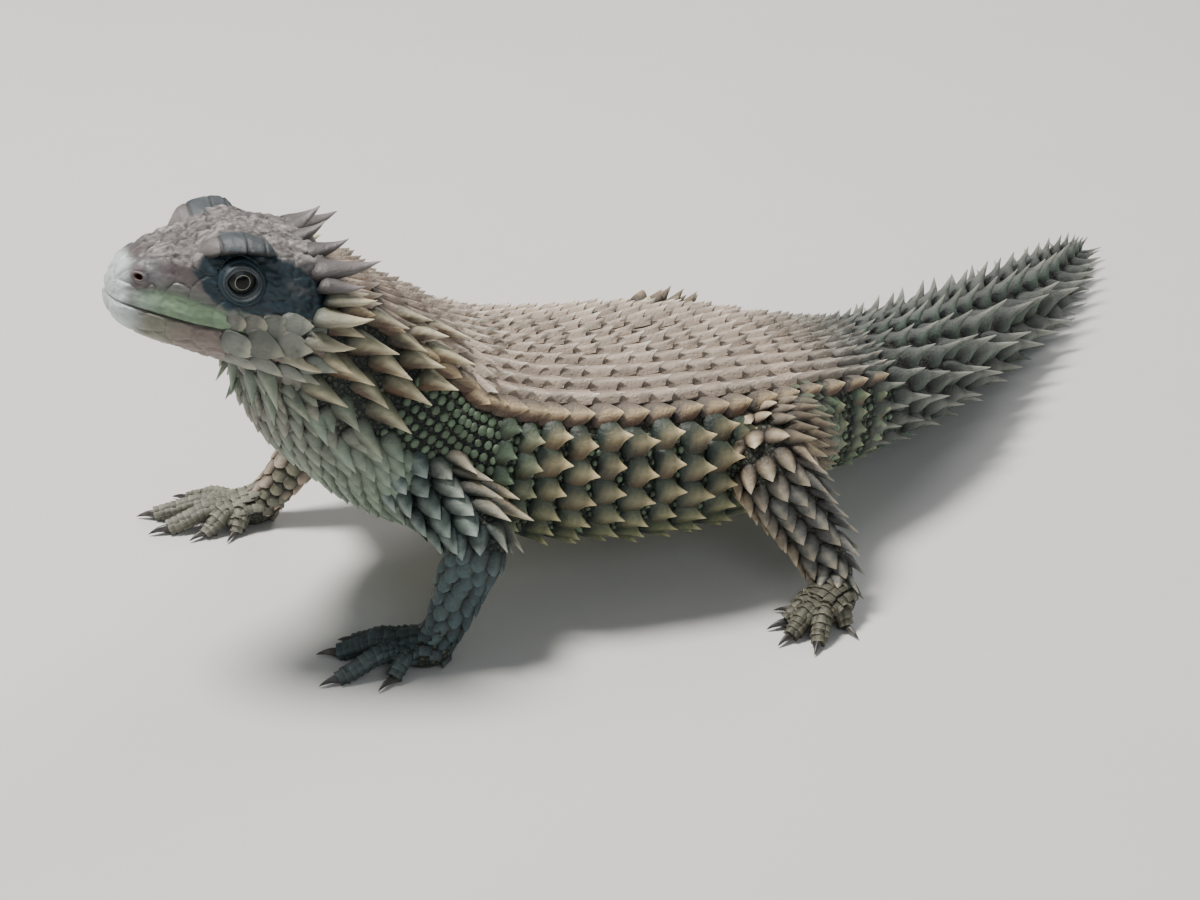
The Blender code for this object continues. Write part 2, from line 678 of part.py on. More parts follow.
def torso_pieces(trunk, start, end, limbs):
    """Rows of keeled plates over the back and spaced spiny scales down the flanks."""
    pieces = []
    for distance in rows_between(start, end, BACK_PITCH):
        _, width, height = trunk.at(distance)
        half = math.pi * math.sqrt((width**2 + height**2) / 2)
        plate = min(BACK_PLATE, half * 0.32 / BACK_PLATES)
        edges = [k * plate / half for k in range(-BACK_PLATES, BACK_PLATES + 1)]
        edges = clear_run(trunk, distance, edges, limbs, 4.0)
        columns = [round(abs(a + b) / 2 * half / plate - 0.5) for a, b in zip(edges, edges[1:])]
        lifts = [vary(BACK_LIFTS[column], 0.12) for column in columns]
        pieces.append(row_piece(trunk, distance, edges, BACK_PITCH * 0.86, lifts, 0.9))
    for row, share in enumerate(FLANK_SHARES):
        for distance in rows_between(start + 6 + 4.6 * (row % 2), end - 3, FLANK_PITCH):
            for side in (1, -1):
                seat = trunk.seat(distance, side, share)
                if min(limb.reach(seat[0]) for limb in limbs) > 6.0:
                    spine = scale_piece(seat, vary(5.6), vary(4.4), vary(2.6), 1.6, 2.0, sides=4)
                    pieces.append(spine)
    return pieces


def neck_pieces(trunk, start, end):
    """Spines over the nape and, longer and sharper, down the sides of the neck."""
    pieces = []
    for row, distance in enumerate(rows_between(start, end, NECK_PITCH)):
        for share in NECK_SHARES:
            if share > 0.5 and row == 0:
                continue
            for side in (1, -1):
                lateral = share > 0.25
                seat = trunk.seat(distance, side, share + 0.03 * (row % 2))
                length, width = (6.0, 5.2) if lateral else (5.8, 5.8)
                lift, overhang = (4.2, 3.4) if lateral else (2.4, 1.2)
                piece = scale_piece(seat, vary(length), width, vary(lift), 1.9, overhang, sides=4)
                pieces.append(piece)
    return pieces


def tail_whorls(trunk, start, end):
    """Distances and pitches of a length's whorls, closer together as the tail narrows."""
    pitches = []
    while sum(pitches) < end - start:
        _, width, _ = trunk.at(start + sum(pitches))
        pitches.append(TAIL_LEAST_PITCH + TAIL_PITCH_SHARE * width)
    fitted = [pitch * (end - start) / sum(pitches) for pitch in pitches]
    return [(start + sum(fitted[:k]) + pitch / 2, pitch) for k, pitch in enumerate(fitted)]


def tail_pieces(trunk, whorls, limbs):
    """Whorls of big keeled spines that point back and outwards."""
    pieces = []
    for distance, pitch in whorls:
        _, width, _ = trunk.at(distance)
        half = TAIL_EDGES if width > TAIL_THIN else TAIL_THIN_EDGES
        whole = [-edge for edge in half[:0:-1]] + list(half)
        edges = clear_run(trunk, distance, whole, limbs, 4.0)
        first = whole.index(edges[0])
        lifts = [vary(lift * (width + 4), 0.1) for lift in both_sides(TAIL_LIFTS[: len(half) - 1])]
        lifts = lifts[first : first + len(edges) - 1]
        pieces.append(row_piece(trunk, distance, edges, pitch * 0.84, lifts, pitch * 0.34))
    return pieces


def trunk_ends(trunk, name):
    """Where that node of the trunk starts and ends along the line."""
    names = [*TRUNK_NODES, None]
    following = names[names.index(name) + 1]
    start = trunk.distance_at(TRUNK_NODES[name][0])
    return start, trunk.distance_at(TRUNK_NODES[following][0]) if following else trunk.lengths[-1]


def bare_node(trunk, name, colour=None, grow=0.0):
    """A node of the trunk before its scales, or a cutter that is that node grown outwards.

    It runs a little past its own ends, where joint_blocks then parts it from its neighbours.
    """
    _, rings, sides = TRUNK_NODES[name]
    start, end = trunk_ends(trunk, name)
    start = max(start - PAST_JOINT, 0.0)
    end = min(end + PAST_JOINT, trunk.lengths[-1])
    last = 0.3 if name == "tail_end" else 1.0
    bm = trunk.stretch(start, end, rings, sides, grow, last)
    return new_object(name if colour else "grown", bm, colour)


def joint_blocks(tube, start, end):
    """Blocks beyond the two ends of a stretch, square to the line, that leave the gap between."""
    blocks = []
    if start > 0:
        blocks.append(block_piece(tube.at(start)[0], -tube.axes(start)[0]))
    if end < tube.lengths[-1]:
        back = tube.axes(end)[0]
        blocks.append(block_piece(tube.at(end)[0] - back * GAP, back))
    return blocks


def add_trunk(parts, trunk, head, limbs):
    """Neck, torso and the three lengths of the tail, parted by thin cuts across the line."""
    torso, tail = trunk_ends(trunk, "torso")
    for name in TRUNK_NODES:
        start, end = trunk_ends(trunk, name)
        cutters = joint_blocks(trunk, start, end)
        if name == "neck":
            pieces = neck_pieces(trunk, trunk.distance_at(-65.0), torso - 3.0)
            cutters.append(head.hull("clear", grow=GAP))
        elif name == "torso":
            pieces = torso_pieces(trunk, torso + 1.5, tail - 2.5, limbs)
        else:
            pieces = tail_pieces(trunk, tail_whorls(trunk, start + 0.6, end - 2.4), limbs)
        colour = {"neck": "neck", "torso": "back"}.get(name, "tail")
        finish(parts, bare_node(trunk, name, colour), pieces, cutters)


def limb_tube(name):
    kind = name.split("_")[1]
    top, bend, low, pad = (Vector(point) for point in LIMBS[name])
    radii = LIMB_RADII[kind]
    pole = (bend - (top + low) / 2).normalized()
    route = (
        (top, radii[0], radii[0]),
        (top.lerp(bend, 0.5), radii[1], radii[1]),
        (bend, radii[2], radii[2]),
        (bend.lerp(low, 0.45), radii[3], radii[3]),
        (low, radii[4], radii[4]),
        (pad, radii[4] * 0.9, radii[4] * 0.8),
    )
    return Tube(route, pole)


def rod_piece(stops, sides):
    """A closed rod through places with radii, its rings upright across the way that it runs."""
    rings = []
    for i, (place, radius) in enumerate(stops):
        way = stops[min(i + 1, len(stops) - 1)][0] - stops[max(i - 1, 0)][0]
        across = way.cross(Vector((0, 0, 1))).normalized()
        above = across.cross(way).normalized()
        turns = [2 * math.pi * (k + 0.5) / sides for k in range(sides)]
        rings.append([place + (across * math.cos(a) + above * math.sin(a)) * radius for a in turns])
    return new_object("rod", loft(rings))


def toe_pieces(name):
    """The pad of a hand or foot, its five toes, which rise to a knuckle, and their claws."""
    kind = name.split("_")[1]
    pad = Vector(LIMBS[name][3])
    tips = [Vector((x, y, 0.5)) for x, y in TOE_TIPS[name]]
    ahead = sum(((tip - pad).normalized() for tip in tips), Vector())
    ahead = Vector((ahead.x, ahead.y, 0)).normalized()
    axes = (ahead, Vector((-ahead.y, ahead.x, 0)), Vector((0, 0, 1)))
    pieces = [ball_piece(pad, axes, PAD_SIZES[kind])]
    for tip, share in zip(tips, (0.86, 1.0, 1.04, 1.0, 0.86)):
        size = TOE_RADIUS * share
        way = Vector((tip.x - pad.x, tip.y - pad.y, 0)).normalized()
        start = pad + way * 2.5
        end = tip - way * CLAW_LENGTH
        stops = (
            (Vector((start.x, start.y, 3.9)), size * 1.25),
            (Vector((*start.lerp(end, 0.42).xy, 4.3)), size * 1.1),
            (Vector((*start.lerp(end, 0.72).xy, 2.3)), size),
            (Vector((end.x, end.y, size * 0.72)), size * 0.84),
        )
        pieces.append(rod_piece(stops, 5))
        root = Vector((end.x, end.y, size * 0.8)) - way * 1.2
        arch = Vector((*end.lerp(tip, 0.45).xy, size * 1.02))
        pieces.append(rod_piece(((root, size * 0.66), (arch, size * 0.5), (tip, 0.12)), 4))
    return pieces


def limb_pieces(tube, segment, start, end, trunk):
    """Rows of pointed scales round the outer side of a limb's segment, clear of the trunk."""
    count, length, lift, overhang = LIMB_SCALES[segment]
    pieces = []
    for row, distance in enumerate(rows_between(start, end, length)):
        edges = [(k + 0.5 * (row % 2)) / count * 1.5 - 0.75 for k in range(count + 1)]
        edges = clear_run(tube, distance, edges, [trunk], 2.5)
        if len(edges) > 1:
            lifts = [vary(lift, 0.12) for _ in edges[1:]]
            pieces.append(row_piece(tube, distance, edges, length * 0.84, lifts, overhang))
    return pieces


def add_limb(parts, name, tube, trunk):
    """The three segments of a limb, parted by thin cuts and cut clear of the trunk."""
    side, kind = name.split("_")
    bend = tube.distance_near(LIMBS[name][1])
    low = tube.distance_near(LIMBS[name][2])
    upper, lower, pad = LIMB_SEGMENTS[kind]
    for segment, start, end in ((upper, 0.0, bend), (lower, bend, low)):
        rings = max(3, round((end - start) / 7))
        whole = tube.stretch(max(start - PAST_JOINT, 0.0), end + PAST_JOINT, rings, 10)
        base = new_object(f"{side}_{segment}", whole, "limb")
        pieces = limb_pieces(tube, segment, start + 1.5, end - 1.5, trunk)
        cutters = [bare_node(trunk, node, grow=2 * GAP) for node in ("neck", "torso", "tail_base")]
        finish(parts, base, pieces, [*cutters, *joint_blocks(tube, start, end)])
    whole = tube.stretch(low - PAST_JOINT, tube.lengths[-1], 2, 10)
    base = new_object(f"{side}_{pad}", whole, "foot")
    finish(parts, base, toe_pieces(name), joint_blocks(tube, low, tube.lengths[-1]))


def main():
    clear_scene()
    parts = bpy.data.collections.new("sungazer_lizard")
    bpy.context.scene.collection.children.link(parts)
    trunk = Tube(TRUNK_ROUTE, (0, 0, 1), TRUNK_POWER, BELLY_SHARE)
    tubes = {name: limb_tube(name) for name in LIMBS}
    head = Head()
    add_head(parts, head)
    add_trunk(parts, trunk, head, tubes.values())
    for name, tube in tubes.items():
        add_limb(parts, name, tube, trunk)


main()
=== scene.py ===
import math

import bmesh
import bpy
import numpy as np
from mathutils import Matrix, Vector
from mathutils.bvhtree import BVHTree


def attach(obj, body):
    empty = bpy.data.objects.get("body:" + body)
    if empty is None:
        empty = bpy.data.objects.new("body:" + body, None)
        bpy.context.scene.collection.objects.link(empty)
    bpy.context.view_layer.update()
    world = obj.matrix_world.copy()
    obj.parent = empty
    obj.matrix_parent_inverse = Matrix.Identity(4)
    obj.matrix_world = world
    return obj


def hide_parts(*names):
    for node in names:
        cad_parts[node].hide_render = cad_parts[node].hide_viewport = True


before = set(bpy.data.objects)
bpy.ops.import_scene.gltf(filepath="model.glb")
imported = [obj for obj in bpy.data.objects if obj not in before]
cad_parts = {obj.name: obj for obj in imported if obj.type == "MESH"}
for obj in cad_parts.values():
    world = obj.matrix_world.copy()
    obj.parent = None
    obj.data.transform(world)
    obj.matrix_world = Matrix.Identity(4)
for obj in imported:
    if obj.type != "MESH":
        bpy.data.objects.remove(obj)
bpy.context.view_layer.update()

# A life-size sungazer lizard. Lengths are in millimetres until a mesh is made, then in metres.
# The animal faces -X, its left side is towards -Y, and it stands on the floor at Z = 0.
mm = 0.001
footMiddle = np.array((52.1, 32.1, 0.0))  # taken off every place, as the frame's origin is there
luck = np.random.default_rng(11)

trunk = {
    "stations": (  # place, half width and half height, from inside the head to the tail tip
        ((-72.0, 11.5, 77.5), 17.0, 15.0),
        ((-66.0, 12.5, 71.5), 18.5, 18.0),
        ((-59.5, 14.5, 62.0), 20.5, 21.5),
        ((-50.5, 17.0, 52.5), 24.0, 23.0),
        ((-40.0, 18.5, 44.0), 27.5, 24.0),
        ((-24.0, 18.6, 38.0), 31.5, 23.2),
        ((-3.0, 17.0, 34.0), 35.0, 22.8),
        ((17.0, 15.8, 32.0), 36.0, 22.3),
        ((37.5, 15.0, 30.5), 31.0, 20.8),
        ((53.5, 15.3, 29.0), 23.5, 18.5),
        ((67.5, 17.8, 27.0), 19.5, 16.5),
        ((84.0, 24.0, 24.0), 17.0, 14.5),
        ((104.5, 36.5, 19.5), 15.0, 12.6),
        ((127.5, 52.5, 14.4), 12.6, 11.2),
        ((153.0, 69.5, 9.8), 10.2, 9.4),
        ((178.0, 88.0, 6.2), 7.6, 7.0),
        ((196.0, 102.0, 4.1), 5.0, 5.0),
        ((210.0, 113.5, 2.2), 2.0, 2.2),
    ),
    "power": 0.86,  # below 1 a section is squarer than an ellipse
    "belly": 0.92,  # a section's height below its middle, as a share of that above
    "tail": 66.0,  # x where the tail begins
}

head = {
    "snout": (-108.2, 13.5, 90.0),
    "yaw": 5.0,  # degrees, as the next two
    "pitch": 11.0,
    "roll": 3.0,
    "rings": (  # t back from the snout, crown height, crown and cheek half widths, chin depth
        (0.4, 2.2, 2.4, 4.2, -4.2),
        (3.0, 5.6, 5.0, 7.4, -7.0),
        (7.0, 8.2, 7.4, 10.2, -8.8),
        (12.0, 10.0, 9.6, 12.8, -10.2),
        (17.0, 12.2, 12.6, 15.2, -11.4),
        (21.5, 14.8, 14.8, 17.2, -12.4),
        (26.0, 15.2, 15.6, 19.6, -13.2),
        (32.0, 14.6, 15.4, 22.0, -14.0),
        (39.0, 13.8, 16.4, 23.4, -14.6),
        (46.5, 12.6, 15.6, 20.6, -14.4),
    ),
    "outline": (  # half a ring from crown to chin, as shares of the widths and the depth
        (0.0, 0.0, 0.0),
        (0.52, 0.0, 0.0),
        (1.0, 0.0, 0.09),
        (0.45, 0.55, 0.34),
        (0.0, 1.0, 0.62),
        (0.0, 0.95, 0.80),
        (0.0, 0.68, 0.95),
        (0.0, 0.34, 1.0),
        (0.0, 0.0, 1.0),
    ),
    "mouth": (  # its line, as t and up
        (-4.0, -1.4), (3.0, -1.7), (9.0, -2.3), (15.0, -3.0), (24.0, -3.4), (31.0, -2.8), (35.5, -1.6),
    ),
    "nostril": (5.8, 8.0, 4.2),  # t, side and up
    "nostrilHole": (0.95, 1.8, 0.85),  # its half lengths along the same axes
    "ear": (41.5, 22.6, 0.8),
    "earHole": (1.5, 1.8, 3.2),
}

eye = {
    "middle": (24.7, 11.9, 7.3),  # t, side and up on the head
    "radius": 5.4,
    "iris": 3.25,
    "pupil": 0.46,  # share of the iris
    "opening": (2.75, 2.65),  # half width and half height between the lids
    "lidOuter": 5.0,  # radius of the lids' outer edge
    "lidOver": 0.18,  # the lids' clearance over the eyeball
    "socket": 6.6,
}

limbs = {  # shoulder or hip, elbow or knee, wrist or ankle, pad
    "leftArm": ((-46.0, 6.0, 42.0), (-37.5, -16.5, 27.5), (-46.5, -18.5, 9.5), (-51.5, -17.5, 4.0)),
    "rightArm": ((-45.0, 32.0, 42.0), (-44.0, 57.0, 27.5), (-59.0, 60.0, 9.5), (-65.0, 62.0, 4.0)),
    "leftLeg": ((53.0, 5.5, 29.0), (33.5, -18.5, 32.5), (43.0, -33.0, 9.6), (40.0, -38.5, 4.3)),
    "rightLeg": ((53.0, 25.5, 29.0), (33.5, 49.5, 35.5), (49.0, 63.5, 10.0), (45.0, 69.5, 4.3)),
}
# down a limb: at the shoulder or hip, half way, the joint, beyond it, the wrist or ankle
limbRadii = {"Arm": (10.0, 9.2, 6.6, 5.8, 4.3), "Leg": (13.0, 12.2, 9.0, 7.0, 4.8)}
padSizes = {"Arm": (7.0, 5.6, 4.3), "Leg": (7.0, 5.8, 4.6)}  # half length, half width, half height
toeTips = {  # where each claw's tip stands, first toe to fifth
    "leftArm": ((-58.5, -4.0), (-66.0, -1.0), (-72.5, -5.0), (-76.5, -18.0), (-65.5, -25.5)),
    "rightArm": ((-74.5, 53.0), (-82.5, 57.5), (-90.5, 65.0), (-90.5, 75.0), (-79.5, 81.5)),
    "leftLeg": ((29.5, -31.0), (24.0, -38.0), (23.0, -45.5), (28.5, -52.5), (41.0, -50.5)),
    "rightLeg": ((34.5, 62.0), (29.0, 69.0), (28.0, 76.5), (33.5, 83.5), (46.0, 81.5)),
}
toe = {
    "radius": 1.65,
    "shares": (0.86, 1.0, 1.04, 1.0, 0.86),  # of the radius, first toe to fifth
    "root": 2.5,  # from the pad's middle to the toe's start
    "claw": 5.0,  # from the toe's end to the claw's tip
    "clawTip": 0.5,  # over the floor
    "bends": ((0.0, 4.2, 1.2), (0.44, 4.9, 1.08), (0.74, 3.0, 1.0)),  # share along, height, share of radius
    "end": 0.86,
}

paints = {  # linear colours, by what they lie on
    # backRootShadow is painted shadow behind each back plate's raised tip; the other Root colours are painted
    # shade at scale roots, over the dark skin between scales.
    "backRootShadow": (0.028, 0.024, 0.022),
    "back": (0.335, 0.262, 0.205),
    "backTip": (0.95, 0.84, 0.72),
    "ridge": (0.178, 0.143, 0.110),
    "ridgeTip": (0.74, 0.56, 0.32),
    "ridgeLow": (0.110, 0.062, 0.038),
    "flankRoot": (0.012, 0.022, 0.018),
    "flank": (0.060, 0.076, 0.052),
    "flankTip": (0.90, 0.70, 0.38),
    "flankLow": (0.190, 0.110, 0.042),
    "lowRoot": (0.010, 0.018, 0.014),
    "low": (0.072, 0.092, 0.045),
    "lowTip": (0.46, 0.45, 0.24),
    "belly": (0.30, 0.29, 0.16),
    "bead": (0.090, 0.130, 0.080),
    "darkSkin": (0.006, 0.012, 0.010),
    "backSkin": (0.030, 0.024, 0.020),
    "neckRoot": (0.020, 0.022, 0.016),
    "neck": (0.165, 0.165, 0.105),
    "neckTip": (0.86, 0.74, 0.48),
    "neckLow": (0.180, 0.095, 0.045),
    "collar": (0.150, 0.192, 0.145),
    "throat": (0.165, 0.160, 0.130),
    "tailRoot": (0.022, 0.026, 0.022),
    "tail": (0.078, 0.086, 0.078),
    "tailTip": (0.38, 0.38, 0.33),
    # underTailShade: the tail's underside, painted darker and greener as shade.
    "underTailShade": (0.040, 0.075, 0.050),
    # The arm colours and armShadeSlate are the arm painted as in shade, darker and bluer; farArmLit is the
    # same arm painted as lit.
    "armRoot": (0.016, 0.026, 0.026),
    "arm": (0.098, 0.142, 0.130),
    "armTip": (0.44, 0.52, 0.47),
    "farArmLit": (0.42, 0.33, 0.25),
    "armShadeSlate": (0.014, 0.031, 0.039),
    "legRoot": (0.022, 0.018, 0.014),
    "leg": (0.470, 0.355, 0.230),
    "legTip": (0.80, 0.68, 0.48),
    "shin": (0.088, 0.114, 0.124),
    "toe": (0.088, 0.084, 0.060),
    "crown": (0.178, 0.160, 0.156),
    "brow": (0.075, 0.088, 0.100),
    "temple": (0.010, 0.026, 0.035),
    "snout": (0.52, 0.58, 0.58),
    "nose": (0.130, 0.130, 0.138),
    "lore": (0.118, 0.098, 0.098),
    "lip": (0.155, 0.232, 0.142),
    "cheek": (0.165, 0.188, 0.162),
    "jaw": (0.165, 0.130, 0.112),
    # groove: near black, painted as shade in the head's grooves, folds and openings, over dark seams.
    "groove": (0.016, 0.016, 0.016),
    "nostrilRed": (0.12, 0.045, 0.035),
    "nostrilRim": (0.085, 0.030, 0.026),
    "nostrilDeep": (0.006, 0.003, 0.003),
}
paint = {name: np.array(value) for name, value in paints.items()}


# Helpers for places and shapes.
def unit(v):
    return v / np.maximum(np.linalg.norm(v, axis=-1, keepdims=True), 1e-9)


def ramp(value, low, high):  # smooth step from 0 at low to 1 at high
    share = np.clip((np.asarray(value, float) - low) / (high - low), 0, 1)
    return share * share * (3 - 2 * share)


def blend(a, b, share):
    return a + (b - a) * np.asarray(share)[..., None]


def curveAt(a, b, c, d, s):  # at share s of the way from b to c, on a smooth curve through all four
    near = 2 * b + (c - a) * s + (2 * a - 5 * b + 4 * c - d) * s**2
    return 0.5 * near + 0.5 * (3 * b - a - 3 * c + d) * s**3


class Tube:  # a smooth line with half widths and heights, read by the distance along it
    steps = 20  # of the line between two stations
    turns = np.linspace(0, math.pi, 33)  # round half a section, from mid back to mid belly

    def __init__(self, stations, pole=(0, 0, 1), power=1.0, belly=1.0, island=(0, 0, 1, 1)):
        rows = np.array([[*place, width, height] for place, width, height in stations], float)
        rows = np.vstack([rows[:1], rows, rows[-1:]])
        spans = range(len(rows) - 3)
        made = [curveAt(*rows[i : i + 4], k / self.steps) for i in spans for k in range(self.steps)]
        self.rows = np.vstack([*made, rows[-1]])
        self.run = np.concatenate([[0], np.cumsum(np.linalg.norm(np.diff(self.rows[:, :3], axis=0), axis=1))])
        self.length, self.pole = self.run[-1], np.array(pole, float)
        self.power, self.belly, self.island = power, belly, island

    def at(self, distance):
        return np.stack([np.interp(distance, self.run, self.rows[:, k]) for k in range(5)], -1)

    def along(self, x):  # how far along the line first passes that x
        return self.run[np.argmax(self.rows[:, 0] >= x)]

    def near(self, place):
        return self.run[np.argmin(np.linalg.norm(self.rows[:, :3] - np.array(place), axis=1))]

    def axes(self, distance):
        back = unit(self.at(distance + 1.5)[..., :3] - self.at(distance - 1.5)[..., :3])
        left = unit(np.cross(back, self.pole))
        return back, left, np.cross(left, back)

    def outline(self, turn, width, height):
        side, up = np.sin(turn), np.cos(turn)
        height = np.where(up < 0, height * self.belly, height)
        return (
            np.copysign(np.abs(side) ** self.power, side) * width,
            np.copysign(np.abs(up) ** self.power, up) * height,
        )

    def half(self, distance):  # half the way round the section there
        rows = self.at(distance)
        x, y = self.outline(self.turns, rows[..., 3, None], rows[..., 4, None])
        return np.hypot(np.diff(x), np.diff(y)).sum(-1)

    def point(self, distance, share):  # share: 0 mid back, 1 mid belly, negative on the right
        distance, share = np.broadcast_arrays(np.asarray(distance, float), np.asarray(share, float))
        rows = self.at(distance)
        x, y = self.outline(self.turns, rows[..., 3, None], rows[..., 4, None])
        passed = np.cumsum(np.hypot(np.diff(x), np.diff(y)), -1)
        run = np.concatenate([np.zeros((*x.shape[:-1], 1)), passed], -1)
        flat = run.reshape(-1, len(self.turns))
        want = (np.clip(np.abs(share), 0, 1) * run[..., -1]).reshape(-1)
        turn = np.array([np.interp(w, r, self.turns) for w, r in zip(want, flat)]).reshape(share.shape)
        side, up = self.outline(turn, rows[..., 3], rows[..., 4])
        _, left, above = self.axes(distance)
        side = np.where(share < 0, -side, side)
        return rows[..., :3] + left * side[..., None] + above * up[..., None]

    def seats(self, distance, share):
        place = self.point(distance, share)
        back = unit(self.point(distance + 1, share) - self.point(distance - 1, share))
        ahead = self.point(distance, share + 0.03) - self.point(distance, share - 0.03)
        out = unit(np.cross(ahead, back))
        centre = self.at(distance)[..., :3]
        out = out * np.sign((out * (place - centre)).sum(-1, keepdims=True))
        u0, v0, du, dv = self.island
        spot = np.stack([u0 + du * distance / self.length, v0 + dv * (np.asarray(share) + 1) / 2], -1)
        return place, back, out, spot


class Skull:  # the head's own axes: t back from the snout, side to the left, up
    def __init__(self):
        yaw, pitch, roll = (math.radians(head[key]) for key in ("yaw", "pitch", "roll"))
        ahead = Vector((-math.cos(yaw) * math.cos(pitch), math.sin(yaw) * math.cos(pitch), math.sin(pitch)))
        left = Matrix.Rotation(roll, 3, ahead) @ Vector((0, 0, 1)).cross(ahead).normalized()
        self.back, self.left = -np.array(ahead), np.array(left)
        self.up = np.array(ahead.cross(left))
        self.snout = np.array(head["snout"])

    def place(self, t, side, up):
        t, side, up = (np.asarray(value, float)[..., None] for value in (t, side, up))
        return self.snout + self.back * t + self.left * side + self.up * up

    def read(self, places):  # t, side and up of places
        apart = places - self.snout
        return apart @ self.back, apart @ self.left, apart @ self.up

    def turn(self, side=1):  # a matrix whose columns are back, side and up
        return Matrix((self.back, self.left * side, self.up)).transposed().to_4x4()


skull = Skull()
body = Tube(trunk["stations"], power=trunk["power"], belly=trunk["belly"], island=(0.02, 0.02, 0.96, 0.36))
mouthT, mouthUp = np.array(head["mouth"]).T


def limbTube(name, index):
    kind = name[-3:]
    top, bend, low, pad = (np.array(place) for place in limbs[name])
    radii = limbRadii[kind]
    pole = unit(bend - (top + low) / 2)
    stations = (
        (top, radii[0], radii[0]),
        ((top + bend) / 2, radii[1], radii[1]),
        (bend, radii[2], radii[2]),
        (bend + (low - bend) * 0.45, radii[3], radii[3]),
        (low, radii[4], radii[4]),
        (pad, radii[4] * 0.9, radii[4] * 0.8),
    )
    return Tube(stations, pole, island=(0.02 + 0.24 * index, 0.42, 0.22, 0.16))


def toeTube(name, number, index):  # a toe from the pad, over its knuckle, to the claw
    pad, tip = np.array(limbs[name][3]), np.array((*toeTips[name][number], toe["clawTip"]))
    size = toe["radius"] * toe["shares"][number]
    way = unit(np.array((*(tip - pad)[:2], 0.0)))
    start, end = pad + way * toe["root"], tip - way * toe["claw"]
    bends = (*toe["bends"], (1.0, size * toe["end"], toe["end"]))
    stations = [((*(start + (end - start) * s)[:2], z), size * r, size * r) for s, z, r in bends]
    island = (0.02 + 0.24 * index + 0.045 * number, 0.62, 0.04, 0.1)
    return Tube(stations, island=island), end, tip, size, way


limbTubes = {name: limbTube(name, i) for i, name in enumerate(limbs)}
toes = {name: [toeTube(name, k, i) for k in range(5)] for i, name in enumerate(limbs)}


def footAxes(name):  # the pad's middle, the way its toes point, and across them
    ahead = unit(sum(way for *_, way in toes[name]))
    return np.array(limbs[name][3]), ahead, np.array((-ahead[1], ahead[0], 0))


# Shader maths is written as plain expressions.
def feed(tree, socket, value):  # a link or a value, and a colour gets its alpha
    if isinstance(value, Wire):
        tree.links.new(value.socket, socket)
        return
    if np.ndim(value) and len(value) == 3 and len(socket.default_value) == 4:
        value = (*value, 1.0)
    socket.default_value = value


class Wire:  # a socket that can stand in an expression
    def __init__(self, finish, socket):
        self.finish, self.socket = finish, socket

    def calc(self, operation, first, second):
        return self.finish.node("ShaderNodeMath", {"operation": operation}, {0: first, 1: second})

    def __add__(self, other):
        return self.calc("ADD", self, other)

    def __radd__(self, other):
        return self.calc("ADD", other, self)

    def __sub__(self, other):
        return self.calc("SUBTRACT", self, other)

    def __rsub__(self, other):
        return self.calc("SUBTRACT", other, self)

    def __mul__(self, other):
        return self.calc("MULTIPLY", self, other)

    def __rmul__(self, other):
        return self.calc("MULTIPLY", other, self)

    def step(self, low, high):  # 0 at low, 1 at high
        sockets = {"Value": self, "From Min": low, "From Max": high}
        return self.finish.node("ShaderNodeMapRange", {"interpolation_type": "SMOOTHSTEP"}, sockets)


class Finish:  # one material and the nodes that feed its shader
    def __init__(self, name, **fixed):
        self.material = bpy.data.materials.new(name)
        self.material.use_nodes = True
        self.tree = self.material.node_tree
        self.shader = self.tree.nodes["Principled BSDF"]
        self.feedShader(**fixed)
        self.place = self.node("ShaderNodeTexCoord", out="Object")

    def node(self, kind, settings=(), sockets=(), out=0):
        made = self.tree.nodes.new(kind)
        for key, value in dict(settings).items():
            setattr(made, key, value)
        for key, value in dict(sockets).items():
            feed(self.tree, made.inputs[key], value)
        return Wire(self, made.outputs[out])

    def noise(self, scale, detail=3.0, stretch=None, rough=0.55):
        place = self.place
        if stretch:
            place = self.node("ShaderNodeMapping", {}, {"Vector": place, "Scale": stretch})
        sockets = {"Vector": place, "Scale": scale, "Detail": detail, "Roughness": rough}
        return self.node("ShaderNodeTexNoise", {}, sockets)

    def cells(self, scale, feature="F1", out="Distance"):
        sockets = {"Vector": self.place, "Scale": scale}
        return self.node("ShaderNodeTexVoronoi", {"feature": feature}, sockets, out)

    def mix(self, a, b, factor):  # the numbers are the colour's sockets
        return self.node("ShaderNodeMix", {"data_type": "RGBA"}, {0: factor, 6: a, 7: b}, 2)

    def tone(self):
        return self.node("ShaderNodeAttribute", {"attribute_name": "tone"}, {}, "Color")

    def reading(self, name):
        return self.node("ShaderNodeAttribute", {"attribute_name": name}, {}, "Fac")

    def bump(self, height, strength, distance):
        sockets = {"Height": height, "Strength": strength, "Distance": distance}
        return self.node("ShaderNodeBump", {}, sockets, "Normal")

    def feedShader(self, **sockets):
        for key, value in sockets.items():
            feed(self.tree, self.shader.inputs[key.replace("_", " ")], value)
        return self.material


def scaleFinish(name, rough, grain, pitted=0.0):  # horn: its own tones, worn streaks and pits
    made = Finish(name, IOR=1.48)
    fine, broad = made.noise(grain, 5.0, rough=0.65), made.noise(210.0, 3.0)
    streaks = made.noise(900.0, 3.0, stretch=(0.35, 1.0, 1.0))
    pits = made.cells(1100.0).step(0.0, 0.55)
    tone = made.tone()
    # The tops of the fine grain, where the bump is highest, are painted paler.
    paleGrainTops = made.mix(tone, (0.40, 0.36, 0.30), fine.step(0.56, 0.80) * 0.22)
    stained = made.mix(paleGrainTops, (0.020, 0.022, 0.020), broad.step(0.52, 0.78) * 0.38)
    worn = made.mix(stained, (0.055, 0.050, 0.045), streaks.step(0.60, 0.75) * 0.35)
    height = fine * 0.6 + streaks * 0.5 + pits * pitted
    shine = rough + fine * 0.18
    return made.feedShader(Base_Color=worn, Roughness=shine, Normal=made.bump(height, 0.55, 0.0005))


